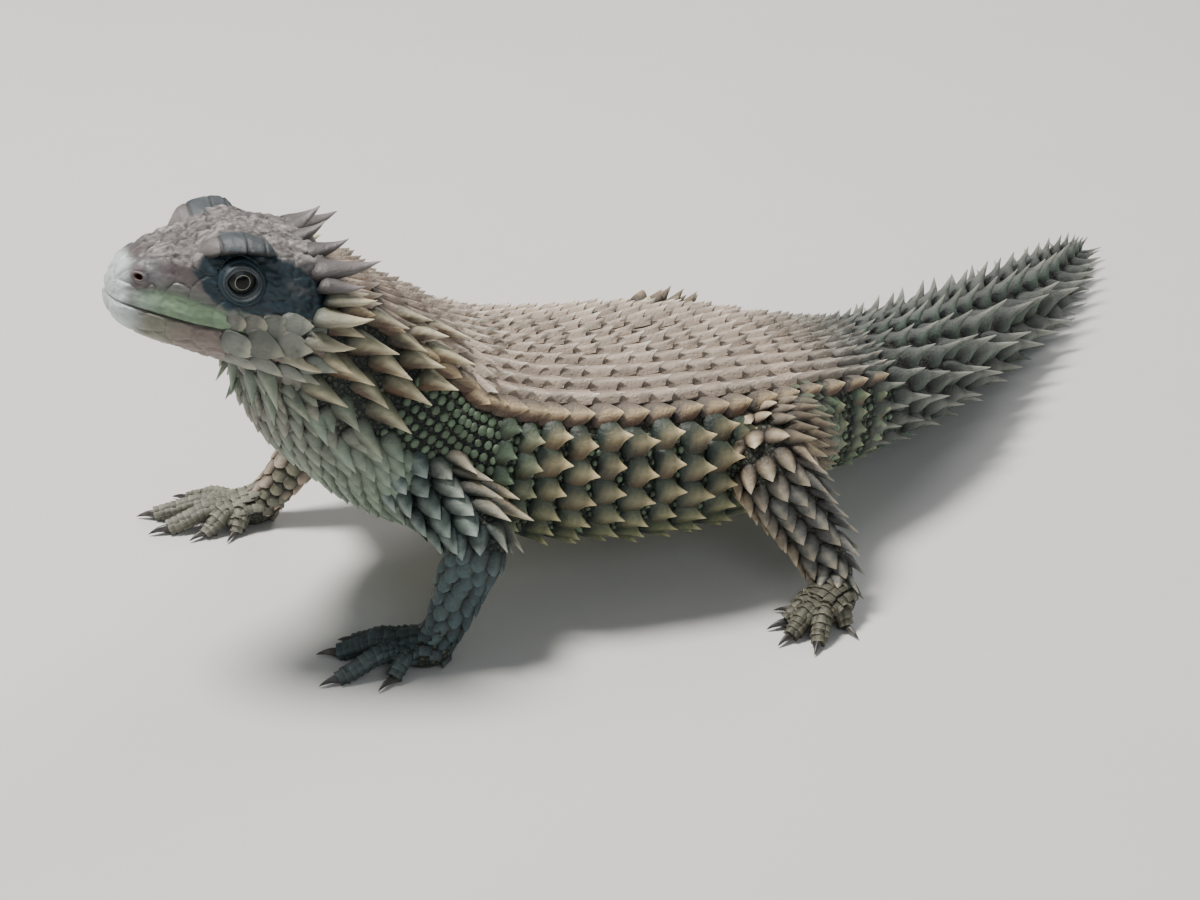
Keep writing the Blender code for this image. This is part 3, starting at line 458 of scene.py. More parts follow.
def skinFinish():  # small soft beads with dark creases between them
    made = Finish("darkHide", IOR=1.45)
    beads, creases = made.cells(820.0), made.cells(820.0, "DISTANCE_TO_EDGE")
    big = made.cells(420.0)
    broad = made.noise(120.0, 4.0)
    tone = made.tone()
    # Bead tops are painted lighter in patches, as painted highlight.
    lit = made.mix(tone, (0.13, 0.15, 0.09), (1 - beads.step(0.1, 0.6)) * broad.step(0.42, 0.62) * 0.55)
    # The creases between beads are painted near black: dark skin with painted shade.
    dark = made.mix((0.006, 0.008, 0.006), lit, creases.step(0.0, 0.12))
    height = creases.step(0.0, 0.25) * 0.7 + (1 - big) * 0.3 + made.noise(2600.0, 3.0) * 0.15
    rough = 0.62 - creases.step(0.0, 0.3) * 0.12
    return made.feedShader(Base_Color=dark, Roughness=rough, Normal=made.bump(height, 0.7, 0.0006))


def headFinish():  # rough shields above, smooth lips and jaw below, by the mesh's own reading
    made = Finish("shieldHorn", IOR=1.48)
    rugose = made.reading("rugose")
    fine, pits = made.noise(1500.0, 6.0, rough=0.7), made.cells(900.0)
    blotch, wisps = made.noise(260.0, 4.0), made.noise(520.0, 4.0, stretch=(0.3, 1.0, 1.0))
    tone = made.tone()
    # The tops of the fine grain on the rough shields are painted pale: worn horn and painted highlight.
    pale = made.mix(tone, (0.46, 0.42, 0.40), fine.step(0.54, 0.72) * rugose * 0.5)
    stained = made.mix(pale, (0.030, 0.028, 0.028), blotch.step(0.50, 0.72) * (rugose * 0.45 + 0.06))
    veined = made.mix(stained, (0.10, 0.085, 0.075), wisps.step(0.58, 0.72) * 0.25)
    height = (fine * 0.9 + (1 - pits) * 0.5) * (rugose * 0.9 + 0.12) + wisps * 0.1
    rough = 0.40 + rugose * 0.2 + fine * 0.12
    return made.feedShader(Base_Color=veined, Roughness=rough, Normal=made.bump(height, 0.6, 0.0006))


def clawFinish():
    made = Finish("clawHorn", IOR=1.5)
    grain = made.noise(900.0, 4.0, stretch=(0.3, 0.3, 1.0))
    colour = made.mix((0.035, 0.034, 0.034), (0.16, 0.14, 0.115), grain.step(0.45, 0.75) * 0.7)
    normal = made.bump(grain, 0.3, 0.0003)
    return made.feedShader(Base_Color=colour, Roughness=0.30 + grain * 0.2, Normal=normal)


def irisFinish():  # rings by the mesh's own reading: 0 at the pupil's middle, 1 at the rim
    made = Finish("irisWet", IOR=1.22, Coat_Weight=0.18, Coat_Roughness=0.0)
    ring = made.reading("ring")
    fibres = made.noise(1400.0, 5.0, rough=0.7)
    edge = eye["pupil"]
    iris = made.mix((0.024, 0.028, 0.025), (0.006, 0.007, 0.007), (ring + fibres * 0.22).step(0.74, 1.08))
    pale = made.mix((0.36, 0.35, 0.30), iris, ring.step(edge + 0.02, edge + 0.07))
    colour = made.mix((0.002, 0.002, 0.002), pale, ring.step(edge - 0.01, edge + 0.02))
    return made.feedShader(Base_Color=colour, Roughness=0.07, Normal=made.bump(fibres, 0.06, 0.0002))


def floorFinish():
    made = Finish("paleFloor", Roughness=0.85)
    grain = made.noise(18.0, 4.0)
    return made.feedShader(Base_Color=made.mix((0.70, 0.69, 0.67), (0.74, 0.73, 0.71), grain))


finishes = {
    "skin": skinFinish(),
    "back": scaleFinish("backPlates", 0.52, 1500.0, 0.5),
    "flank": scaleFinish("flankScales", 0.42, 1300.0, 0.2),
    "neck": scaleFinish("neckSpines", 0.38, 1200.0, 0.15),
    "limb": scaleFinish("limbScales", 0.46, 1400.0, 0.3),
    "head": headFinish(),
    "claw": clawFinish(),
    "iris": irisFinish(),
}
print("finishes made")


# Every mesh is made in millimetres on the animal, then landed in the frame.
def landed(points):  # from millimetres on the animal to metres in the frame
    return (np.asarray(points, float) - footMiddle) * mm


def register(piece, finish):
    bpy.context.scene.collection.objects.link(piece)
    piece.data.materials.clear()
    piece.data.materials.append(finishes[finish])
    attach(piece, "root")
    return piece


def meshFrom(name, points, faces, sizes):  # faces as a flat list of corners with a size each
    mesh = bpy.data.meshes.new(name)
    mesh.vertices.add(len(points))
    mesh.vertices.foreach_set("co", landed(points).astype(np.float32).ravel())
    mesh.loops.add(len(faces))
    mesh.loops.foreach_set("vertex_index", faces.astype(np.int32))
    mesh.polygons.add(len(sizes))
    mesh.polygons.foreach_set("loop_start", np.concatenate([[0], np.cumsum(sizes)[:-1]]).astype(np.int32))
    mesh.update(calc_edges=True)
    mesh.polygons.foreach_set("use_smooth", np.ones(len(sizes), bool))
    return mesh


def setTone(mesh, colours):
    layer = mesh.color_attributes.new("tone", "FLOAT_COLOR", "POINT")
    full = np.concatenate([np.clip(colours, 0, 1), np.ones((len(colours), 1))], 1)
    layer.data.foreach_set("color", full.astype(np.float32).ravel())


def setReading(mesh, name, values):
    mesh.attributes.new(name, "FLOAT", "POINT").data.foreach_set("value", np.asarray(values, np.float32))


def ringFaces(rows, turns, side=1):  # the squares between rings of points, turned over for the right side
    j = np.arange(turns)
    k = (j + 1) % turns
    bands = []
    for i in range(rows - 1):
        low, high = i * turns, (i + 1) * turns
        bands.append(np.stack([low + j, low + k, high + k, high + j], 1))
    faces = np.concatenate(bands)
    return faces if side > 0 else faces[:, ::-1]


def headPiece(name, grid, faces, tone, rugose, weld=False):  # a piece of the head from rings of points
    mesh = meshFrom(name, grid.reshape(-1, 3), faces.reshape(-1), np.full(len(faces), 4))
    setTone(mesh, tone.reshape(-1, 3))
    setReading(mesh, "rugose", rugose.reshape(-1))
    bm = bmesh.new()
    bm.from_mesh(mesh)
    if weld:  # points that lie on each other, and those that no face uses
        bmesh.ops.remove_doubles(bm, verts=bm.verts, dist=1e-6)
        bmesh.ops.delete(bm, geom=[vert for vert in bm.verts if not vert.link_faces], context="VERTS")
    bmesh.ops.recalc_face_normals(bm, faces=bm.faces)
    bm.to_mesh(mesh)
    bm.free()
    register(bpy.data.objects.new(name, mesh), "head")
    print(name, len(mesh.polygons) * 2, "triangles")


def addTube(bm, rings):  # a closed stretch: a disc that is extruded from ring to ring
    turn = bm.verts.layers.int["turn"]
    cap = bmesh.ops.create_circle(bm, cap_ends=True, segments=len(rings[0]), radius=1)["verts"]
    for k, vert in enumerate(cap):
        vert[turn] = k
        vert.co = rings[0][k]
    face = next(f for f in cap[0].link_faces if len(f.verts) == len(cap))
    for ring in rings[1:]:
        made = bmesh.ops.extrude_face_region(bm, geom=[face, *face.edges])  # the disc it leaves goes
        face = next(item for item in made["geom"] if isinstance(item, bmesh.types.BMFace))
        for vert in face.verts:
            vert.co = ring[vert[turn]]


def tubeRings(tube, step, sides, last=1.0):  # last: the size of the end ring, as a share
    turns = np.arange(sides) * 2 * math.pi / sides
    rings = []
    for distance in np.linspace(0, tube.length, max(4, round(tube.length / step))):
        row = tube.at(distance)
        _, left, up = tube.axes(distance)
        side, high = tube.outline(turns, row[3], row[4])
        size = last if distance == tube.length else 1.0
        rings.append(row[:3] + (left * side[:, None] + up * high[:, None]) * size)
    return rings


def addBall(bm, middle, axes, sizes):
    turn = Matrix([Vector(axis) * size for axis, size in zip(axes, sizes)]).transposed().to_4x4()
    matrix = Matrix.Translation(Vector(middle)) @ turn
    bmesh.ops.create_uvsphere(bm, u_segments=20, v_segments=14, radius=1, matrix=matrix)


def newBmesh():
    bm = bmesh.new()
    bm.verts.layers.int.new("turn")
    return bm


def treeOf(points, mesh):
    faces = [tuple(face.vertices) for face in mesh.polygons]
    return BVHTree.FromPolygons([Vector(point) for point in points], faces)


def applied(piece):  # the piece with its modifiers' result as its own mesh
    bpy.context.view_layer.update()
    graph = bpy.context.evaluated_depsgraph_get()
    mesh = bpy.data.meshes.new_from_object(piece.evaluated_get(graph))
    piece.modifiers.clear()
    piece.data = mesh
    return piece


def toObject(name, bm):
    bmesh.ops.recalc_face_normals(bm, faces=bm.faces)
    mesh = bpy.data.meshes.new(name)
    bm.to_mesh(mesh)
    bm.free()
    made = bpy.data.objects.new(name, mesh)
    bpy.context.scene.collection.objects.link(made)
    return made


# One closed skin stands for all the nodes of flesh.
skinCare = {"voxel": 0.72, "smooth": 5, "triangles": 186000, "mouthDepth": 0.8, "lowest": 0.02}


def skullObject():  # the head's hull
    bm = newBmesh()
    rings = []
    for t, crown, crownHalf, cheekHalf, chin in head["rings"]:
        half = [(a * crownHalf + b * cheekHalf, crown + (chin - crown) * c) for a, b, c in head["outline"]]
        whole = half + [(-side, up) for side, up in half[-2:0:-1]]
        rings.append([skull.place(t, side, up) for side, up in whole])
    addTube(bm, rings)
    made = toObject("skull", bm)
    smooth = made.modifiers.new("smooth", "SUBSURF")
    smooth.levels = smooth.render_levels = 3
    return applied(made)


def socketCutter():
    bm = newBmesh()
    axes = (skull.back, skull.left, skull.up)
    holes = (
        (eye["middle"], (eye["socket"],) * 3),
        (head["nostril"], head["nostrilHole"]),
        (head["ear"], head["earHole"]),
    )
    for side in (1, -1):
        for (t, aside, up), sizes in holes:
            addBall(bm, skull.place(t, aside * side, up), axes, sizes)
    return toObject("sockets", bm)


def makeSkin():
    skullPiece, cutter = skullObject(), socketCutter()
    cut = skullPiece.modifiers.new("cut", "BOOLEAN")
    cut.operation, cut.object, cut.solver = "DIFFERENCE", cutter, "EXACT"
    applied(skullPiece)
    bpy.data.objects.remove(cutter, do_unlink=True)
    bm = newBmesh()
    bm.from_mesh(skullPiece.data)
    bpy.data.objects.remove(skullPiece, do_unlink=True)
    addTube(bm, tubeRings(body, 2.5, 56, 0.3))
    for name, tube in limbTubes.items():
        addTube(bm, tubeRings(tube, 1.8, 28))
        pad, ahead, across = footAxes(name)
        addBall(bm, pad, (ahead, across, (0, 0, 1)), padSizes[name[-3:]])
        for toeLine, *_ in toes[name]:
            addTube(bm, tubeRings(toeLine, 1.0, 14))
    skin = toObject("skin", bm)
    remesh = skin.modifiers.new("remesh", "REMESH")
    remesh.mode, remesh.voxel_size, remesh.adaptivity = "VOXEL", skinCare["voxel"], 0.0
    smooth = skin.modifiers.new("smooth", "SMOOTH")
    smooth.factor, smooth.iterations = 0.5, skinCare["smooth"]
    applied(skin)
    thin = skin.modifiers.new("thin", "DECIMATE")
    count = sum(len(face.vertices) - 2 for face in skin.data.polygons)
    thin.ratio = min(1.0, skinCare["triangles"] / count)
    applied(skin)
    return skin


skin = makeSkin()


def readSkin(key):  # one vector for each point of the skin
    values = np.empty(len(skin.data.vertices) * 3)
    skin.data.vertices.foreach_get(key, values)
    return values.reshape(-1, 3)


def pinchMouth(places, normals):  # draws the skin in along the line of the mouth
    t, _, up = skull.read(places)
    away = np.abs(up - np.interp(t, mouthT, mouthUp))
    deep = (1 - ramp(away, 0.2, 1.1)) * (1 - ramp(t, 28.0, 31.0)) * (np.abs(t) < 60)
    return places - normals * (deep * skinCare["mouthDepth"])[:, None]


places = pinchMouth(readSkin("co"), readSkin("normal"))
places[:, 2] = np.maximum(places[:, 2], skinCare["lowest"])
tree = treeOf(places, skin.data)
print("skin", len(places), "points")


def skinTone(places):  # the ground colour that shows between scales
    rows, chunk = body.rows, 20000
    nearest = np.zeros(len(places), int)
    for k in range(0, len(places), chunk):
        apart = np.linalg.norm(places[k : k + chunk, None] - rows[None, ::4, :3], axis=2)
        nearest[k : k + chunk] = apart.argmin(1) * 4
    above = (places[:, 2] - rows[nearest, 2]) / rows[nearest, 4]
    x = rows[nearest, 0]
    tint = blend(paint["darkSkin"], paint["backSkin"], ramp(above, 0.2, 0.6))
    tint = blend(tint, paint["low"] * 0.5, ramp(-above, 0.35, 0.9))
    under = ramp(-above, 0.1, 0.7) * ramp(-x, 38, 55)
    tint = blend(tint, paint["throat"] * 0.45, under)
    t = skull.read(places)[0]
    # Inside the head the skin is painted near black, as shade in the sockets where it shows.
    inHead = (1 - ramp(t, 36, 44)) * (places[:, 2] > 55)
    colours = blend(tint, paint["groove"] * 1.2, inHead)
    for name, tube in limbTubes.items():
        some = tube.rows[::5]
        apart = np.linalg.norm(places[:, None] - some[None, :, :3], axis=2)
        close = apart.min(1) < some[apart.argmin(1), 3] + 2
        # Skin round the near arm is painted in its shaded slate, as shade.
        base = paint["armShadeSlate"] * 0.6 if name == "leftArm" else paint["toe"] * 0.35
        colours[close] = blend(colours[close], base, np.full(close.sum(), 0.75))
    foot = (places[:, 2] < 9) & (x < 70)
    colours[foot] = blend(colours[foot], paint["toe"] * 0.3, np.full(foot.sum(), 0.5))
    return colours


skin.data.vertices.foreach_set("co", landed(places).astype(np.float32).ravel())
skin.data.update()
skin.data.polygons.foreach_set("use_smooth", np.ones(len(skin.data.polygons), bool))
setTone(skin.data, skinTone(places))
bpy.context.scene.collection.objects.unlink(skin)
register(skin, "skin")
replaced = ["head", "jaw", "neck", "torso", "tail_base", "tail_middle", "tail_end"]
limbParts = ("upper_arm", "forearm", "hand", "thigh", "shank", "foot")
replaced += [f"{side}_{part}" for side in ("left", "right") for part in limbParts]
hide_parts(*replaced)


# A scale is one small shape, made once and stamped many times over.
def template(build):  # corners, the faces as one flat list, and each face's size
    bm = bmesh.new()
    build(bm)
    bmesh.ops.recalc_face_normals(bm, faces=bm.faces)
    co = np.array([vert.co[:] for vert in bm.verts])
    faces = [[vert.index for vert in face.verts] for face in bm.faces]
    bm.free()
    flat = np.array([k for face in faces for k in face])
    return co, flat, np.array([len(face) for face in faces])


def plate(shape):  # a keeled scale over a narrower, flat sunk root
    def build(bm):
        column = bm.verts.layers.int.new("column")
        across = shape["columns"]
        made = bmesh.ops.create_grid(bm, x_segments=shape["rows"], y_segments=across, size=1)
        for vert in made["verts"]:
            a, b = (vert.co.x + 1) / 2, vert.co.y
            vert[column] = round((b + 1) / 2 * across)
            wide = np.interp(a, *zip(*shape["outline"]))
            keel = (1 - abs(b)) ** shape["keelPower"]
            z = shape["edge"] + shape["dome"] * (1 - b * b) + shape["keel"] * keel * a ** shape["rise"]
            vert.co = (a - 0.5 + shape["point"] * a**3 * keel, b * wide / 2, z + shape["lift"] * a**2)
        rim = [edge for edge in bm.edges if edge.is_boundary]
        wall = bmesh.ops.extrude_edge_only(bm, edges=rim)["geom"]
        for vert in (item for item in wall if isinstance(item, bmesh.types.BMVert)):
            vert.co = (vert.co.x * 0.80 - 0.04, vert.co.y * 0.86, -shape["sink"])
        bare = [edge for edge in bm.edges if edge.is_boundary]
        sides = [edge for edge in bare if {vert[column] for vert in edge.verts} in ({0}, {across})]
        bmesh.ops.bridge_loops(bm, edges=sides)
        bmesh.ops.holes_fill(bm, edges=[edge for edge in bm.edges if edge.is_boundary])

    return template(build)


def bead(sides, height):  # a low round boss
    def build(bm):
        made = bmesh.ops.create_circle(bm, cap_ends=True, segments=sides, radius=0.5)
        bmesh.ops.translate(bm, vec=(0, 0, -0.25), verts=made["verts"])
        disc = made["verts"][0].link_faces[0]
        raised = bmesh.ops.extrude_face_region(bm, geom=[disc], use_keep_orig=True)["geom"]
        top = next(item for item in raised if isinstance(item, bmesh.types.BMFace))
        bmesh.ops.translate(bm, vec=(0, 0, 0.25 + height * 0.55), verts=top.verts)
        bmesh.ops.scale(bm, vec=(0.93, 0.93, 1), verts=top.verts)
        bmesh.ops.inset_individual(bm, faces=[top], thickness=0.16, depth=height * 0.38)
        centre = bmesh.ops.poke(bm, faces=[top])["verts"][0]
        centre.co.z += height * 0.10

    return template(build)


def spike(profile, sides=10, keel=0.0, seat=0.45):  # rows: share along, width, top and bottom
    def build(bm):
        bm.verts.layers.int.new("turn")
        made = []
        turns = np.arange(sides) * 2 * math.pi / sides
        for a, wide, top, bottom in profile:
            ridge = keel * wide * np.maximum(np.cos(turns), 0) ** 8
            z = (top + bottom) / 2 + np.cos(turns) * (top - bottom) / 2 + ridge
            made.append(np.stack([np.full(sides, a - seat), np.sin(turns) * wide / 2, z], -1))
        addTube(bm, made)

    return template(build)


def horn(sides, rings, arch, flat):  # a claw along +x that arches over to its point
    def build(bm):
        bm.verts.layers.int.new("turn")
        made = []
        for k in range(rings + 1):
            a = k / rings
            radius = 0.5 * (1 - a) ** 0.82 + 0.012
            turns = np.arange(sides) * 2 * math.pi / sides
            ridge = 1 + 0.24 * np.maximum(np.cos(turns), 0) ** 6
            y, z = np.sin(turns) * radius, np.cos(turns) * radius * flat * ridge
            made.append(np.stack([np.full(sides, a - 0.15), y, z + arch * 4 * a * (1 - a)], -1))
        addTube(bm, made)

    return template(build)


shapes = {
    "back": plate({
        "rows": 5, "columns": 6, "outline": ((0, 0.92), (0.5, 0.99), (0.85, 1.0), (1, 0.90)),
        "keelPower": 2.6, "keel": 0.60, "rise": 1.9, "point": 0.19, "edge": 0.10, "dome": 0.16, "lift": 0.34,
        "sink": 0.9,
    }),
    "flat": plate({
        "rows": 3, "columns": 3, "outline": ((0, 0.92), (0.5, 1.0), (1, 0.90)), "keelPower": 1.2,
        "keel": 0.08, "rise": 1.0, "point": 0.03, "edge": 0.30, "dome": 0.22, "lift": 0.28, "sink": 0.8,
    }),
    "ridge": spike((
        (0, 0.52, 0.02, -0.35), (0.05, 0.86, 0.22, -0.35), (0.20, 1.0, 0.42, -0.35), (0.45, 1.0, 0.58, -0.30),
        (0.65, 0.88, 0.70, -0.15), (0.78, 0.62, 0.78, 0.15), (0.90, 0.30, 0.86, 0.52), (1, 0.04, 0.90, 0.84),
    ), keel=0.14),
    "dome": spike((
        (0, 0.42, -0.02, -0.35), (0.05, 0.78, 0.14, -0.35), (0.16, 0.98, 0.32, -0.35),
        (0.38, 1.0, 0.48, -0.35), (0.56, 0.92, 0.57, -0.30), (0.67, 0.64, 0.66, -0.12),
        (0.76, 0.34, 0.75, 0.22), (0.87, 0.17, 0.84, 0.56), (1, 0.03, 0.92, 0.88),
    ), keel=0.06),
    "rose": spike((
        (0, 0.40, 0.0, -0.3), (0.06, 0.76, 0.14, -0.3), (0.16, 0.97, 0.28, -0.3), (0.29, 1.0, 0.38, -0.26),
        (0.40, 0.84, 0.43, -0.14), (0.50, 0.58, 0.48, 0.0), (0.62, 0.36, 0.57, 0.22),
        (0.80, 0.20, 0.78, 0.56), (1, 0.03, 1.06, 1.03),
    ), keel=0.06),
    "thorn": spike((
        (0, 0.40, 0.0, -0.35), (0.07, 0.78, 0.16, -0.35), (0.19, 1.0, 0.31, -0.30), (0.35, 0.94, 0.43, -0.15),
        (0.50, 0.72, 0.53, 0.05), (0.66, 0.46, 0.63, 0.28), (0.83, 0.23, 0.75, 0.54), (1, 0.03, 0.86, 0.83),
    ), keel=0.08),
    "leaf": spike((
        (0, 0.46, 0.02, -0.3), (0.08, 0.78, 0.20, -0.3), (0.25, 1.0, 0.38, -0.3), (0.48, 0.96, 0.52, -0.12),
        (0.68, 0.72, 0.62, 0.15), (0.85, 0.38, 0.70, 0.45), (1, 0.03, 0.76, 0.73),
    ), keel=0.09),
    "boss": spike((
        (0, 0.44, 0.0, -0.3), (0.10, 0.82, 0.24, -0.3), (0.34, 1.0, 0.42, -0.3), (0.62, 1.0, 0.50, -0.22),
        (0.84, 0.74, 0.50, 0.05), (1, 0.26, 0.44, 0.30),
    ), keel=0.03),
    "spine": spike((
        (0, 0.74, 0.18, -0.5), (0.10, 1.0, 0.36, -0.46), (0.26, 0.92, 0.40, -0.36), (0.46, 0.70, 0.43, -0.16),
        (0.66, 0.46, 0.50, 0.06), (0.84, 0.24, 0.60, 0.36), (1, 0.03, 0.74, 0.71),
    ), sides=14, keel=0.10, seat=0.12),
    "bead": bead(8, 0.5),
    "horn": horn(12, 9, 0.26, 0.80),
}


class Coat:  # many scales joined into one mesh
    patch = 0.0015  # a scale's size on the UV map

    def __init__(self):
        self.points, self.colours, self.spots, self.corners, self.sizes, self.total = [], [], [], [], [], 0

    def stamp(self, shape, places, backs, outs, spots, size, colours, arch=0.0, **looks):
        looks = {"rimShade": 0.35, "rootTo": 0.30, "tipFrom": 0.5, "line": 0.0, "beneath": None, **looks}
        co, flat, sizes = shapes[shape]
        if not len(places):
            return
        outs = unit(outs)
        backs = unit(backs - outs * (backs * outs).sum(-1, keepdims=True))
        across = np.cross(outs, backs)
        n = len(places)
        long, wide, high = (np.broadcast_to(value, (n,))[:, None, None] for value in size)
        x, y, z = co[None, :, 0, None], co[None, :, 1, None], co[None, :, 2, None]
        rise = z * high - np.broadcast_to(arch, (n,))[:, None, None] * (y * wide) ** 2
        points = places[:, None] + backs[:, None] * x * long + across[:, None] * y * wide
        points = points + outs[:, None] * rise
        a = (co[:, 0] - co[:, 0].min()) / np.ptp(co[:, 0])
        steps = np.linspace(0, 1, 9)
        reach = np.interp(a, steps, [np.abs(co[np.abs(a - s) < 0.14, 1]).max() for s in steps])
        rim = np.clip(np.abs(co[:, 1]) / np.maximum(reach, 1e-3), 0, 1)
        root, middle, tip = (np.broadcast_to(c, (n, 3))[:, None] for c in colours)
        # A scale's root is painted in its dark root colour: painted shade where it tucks under the scale in
        # front, over the dark skin between scales.
        tone = root + (middle - root) * ramp(a, 0.0, looks["rootTo"])[None, :, None]
        if looks["beneath"] is not None:  # the half that looks down
            down = -np.sign(across[:, None, 2, None]) * np.sign(co[None, :, 1, None])
            down = down * ramp(rim, 0.05, 0.6)[None, :, None]
            tone = tone + (looks["beneath"] - tone) * np.maximum(down, 0) * ramp(a, 0.05, 0.35)[None, :, None]
        shade = looks["rimShade"] * ramp(rim, 0.30, 1.0) * (1 - ramp(a, 0.6, 0.9))
        tone = tone + (root - tone) * shade[None, :, None]
        line = looks["line"] * ramp(a, 0.25, 0.5) * np.exp(-((rim / 0.3) ** 2)) * (co[:, 2] > 0)
        bright = np.maximum(ramp(a, looks["tipFrom"], 0.97) * (1 - 0.4 * rim), line)
        tone = tone + (tip - tone) * bright[None, :, None]
        # A scale's underside, below its seat, is painted darker, as shade.
        under = 1 - 0.6 * (co[:, 2] < 0)
        tone = tone * under[None, :, None] * (1 + luck.uniform(-0.18, 0.18, (n, 1, 1)))
        self.points.append(points.reshape(-1, 3))
        self.colours.append(tone.reshape(-1, 3))
        uv = (spots[:, None] + co[None, :, :2] * self.patch).reshape(-1, 2)
        corners = (flat[None] + np.arange(n)[:, None] * len(co)).reshape(-1)
        self.spots.append(uv[corners])
        self.corners.append(corners + self.total)
        self.sizes.append(np.tile(sizes, n))
        self.total += n * len(co)

    def stampOne(self, shape, place, back, out, spot, size, colours, **looks):
        self.stamp(shape, place[None], back[None], out[None], np.array([spot]), size, colours, **looks)

    def finish(self, name, slotName, finish):
        points, corners = np.concatenate(self.points), np.concatenate(self.corners)
        points[:, 2] = np.maximum(points[:, 2], 0.0)  # nothing reaches under the floor
        sizes = np.concatenate(self.sizes)
        mesh = meshFrom(name, points, corners, sizes)
        setTone(mesh, np.concatenate(self.colours))
        layer = mesh.uv_layers.new(name="OFBake")
        layer.data.foreach_set("uv", np.concatenate(self.spots).astype(np.float32).ravel())
        mesh.set_sharp_from_angle(angle=math.radians(70))
        register(bpy.data.objects.new(name, mesh), finish)
        print(name, (sizes - 2).sum(), "triangles")


def settle(places, outs, limit):  # moves seats onto the skin and says which were near enough to it
    found, turned, keep = np.array(places), np.array(outs), np.zeros(len(places), bool)
    for i, place in enumerate(places):
        here, normal, _, away = tree.find_nearest(Vector(place))
        if here is not None and away < limit:
            found[i], keep[i] = here, True
            turned[i] = unit(outs[i] * 1.4 + np.array(normal))
    return found, turned, keep


def lay(  # a row of scales on a tube's skin: turned by up to twist, raised by tilt
    coat, shape, tube, distance, share, size, colours,
    limit=1.3, twist=0.05, clear=None, tilt=0.0, lie=None, **looks,
):
    distance, share = np.broadcast_arrays(np.asarray(distance, float), np.asarray(share, float))
    places, backs, outs, spots = tube.seats(distance, share)
    places, outs, keep = settle(places, outs, limit)
    if clear is not None:
        keep &= clear(places)
    if lie is not None:
        backs = lie(backs, outs)
    n = len(places)
    across = np.cross(outs, backs)
    backs = backs + across * luck.uniform(-twist, twist, (n, 1))
    lean = np.broadcast_to(tilt, (n,))[:, None]
    backs, outs = backs + outs * lean, outs - backs * lean
    bend = 0.5 / np.maximum(tube.at(distance)[..., 3], 1.0)
    size = [(np.broadcast_to(value, (n,)) * (1 + luck.uniform(-0.07, 0.07, n)))[keep] for value in size]
    colours = [np.broadcast_to(value, (n, 3))[keep] for value in colours]
    coat.stamp(shape, places[keep], backs[keep], outs[keep], spots[keep], size, colours, bend[keep], **looks)


def offHead(places):  # true behind the head's own shell
    t, _, up = skull.read(places)
    return (t > 43.5) | (up < -15.5)


def onSide(values):
    return np.concatenate([values, -values])


# The scales of the back, flanks and belly.
backCoat = {
    "pitch": 6.6,  # from row to row
    "column": 3.95,
    "columns": 7,  # on each side
    "ridge": 30.2,  # how far round from mid back the last column stands
    "girth": 92.0,  # from mid back to mid belly
    "long": 1.45,  # of the pitch
    "high": 2.2,
}
flankCoat = {
    "rows": (35.2, 41.2, 47.2, 53.2, 59.2, 65.2, 71.0),  # round from mid back
    "front": -34.0,  # x where they start
    "long": 8.0,
    "wide": 9.0,
    "high": 3.9,
}
bellyCoat = {"start": -45.0, "from": 0.79, "column": 5.6, "long": 1.28, "high": 1.1}
beadCoat = {"start": -56.0, "end": 75.0, "from": 0.38, "to": 0.80, "pitch": 1.9, "pitPitch": 0.8}


def trunkRows(start, end, pitch):
    count = round((end - start) / pitch)
    return start + (end - start) * (np.arange(count) + 0.5) / count


def makeBack():
    start, end = 0.5, body.along(trunk["tail"] + 3)
    rows = trunkRows(start, end, backCoat["pitch"])
    coat = Coat()
    for distance in rows:
        columns = np.append((np.arange(backCoat["columns"]) + 0.5) * backCoat["column"], backCoat["ridge"])
        share = onSide(columns / backCoat["girth"])
        away = np.abs(onSide(columns / backCoat["ridge"]))
        edge = (away > 0.99) * 1.0
        scale = min(1.0, body.half(distance) / 88.0)
        place = distance + 1.2 * away**1.5 + luck.normal(0, 0.14, len(share))
        wide = (backCoat["column"] * 1.04 + 1.9 * edge) * scale
        high = backCoat["high"] * (1.15 - 0.30 * away + 0.20 * edge)
        long = backCoat["pitch"] * (backCoat["long"] - 0.25 * edge)
        cool = float(ramp(distance, end - 30, end))
        base = blend(paint["back"], paint["tail"] * 1.3, np.array(cool))
        middle = blend(base, paint["ridge"], edge * (1 - cool)) * (1 + luck.normal(0, 0.07, (len(share), 1)))
        tip = blend(paint["backTip"], paint["ridgeTip"], edge)
        plain = edge < 0.5
        clear = offHead if abs(body.at(distance)[0]) > 40 else None
        for kind, these, looks in (
            ("back", plain, {"rimShade": 0.16, "rootTo": 0.50, "tipFrom": 0.86, "line": 0.22}),
            ("ridge", ~plain, {"rimShade": 0.3, "tipFrom": 0.74, "line": 0.55, "beneath": paint["ridgeLow"]}),
        ):
            size = (long[these], wide[these], high[these])
            # The root colour is painted shadow behind the raised tip of the plate in front.
            colours = (paint["backRootShadow"], middle[these], tip[these])
            lay(coat, kind, body, place[these], share[these], size, colours, limit=1.6, clear=clear, **looks)
    coat.finish("backPlates", "body_scales", "back")
    return rows


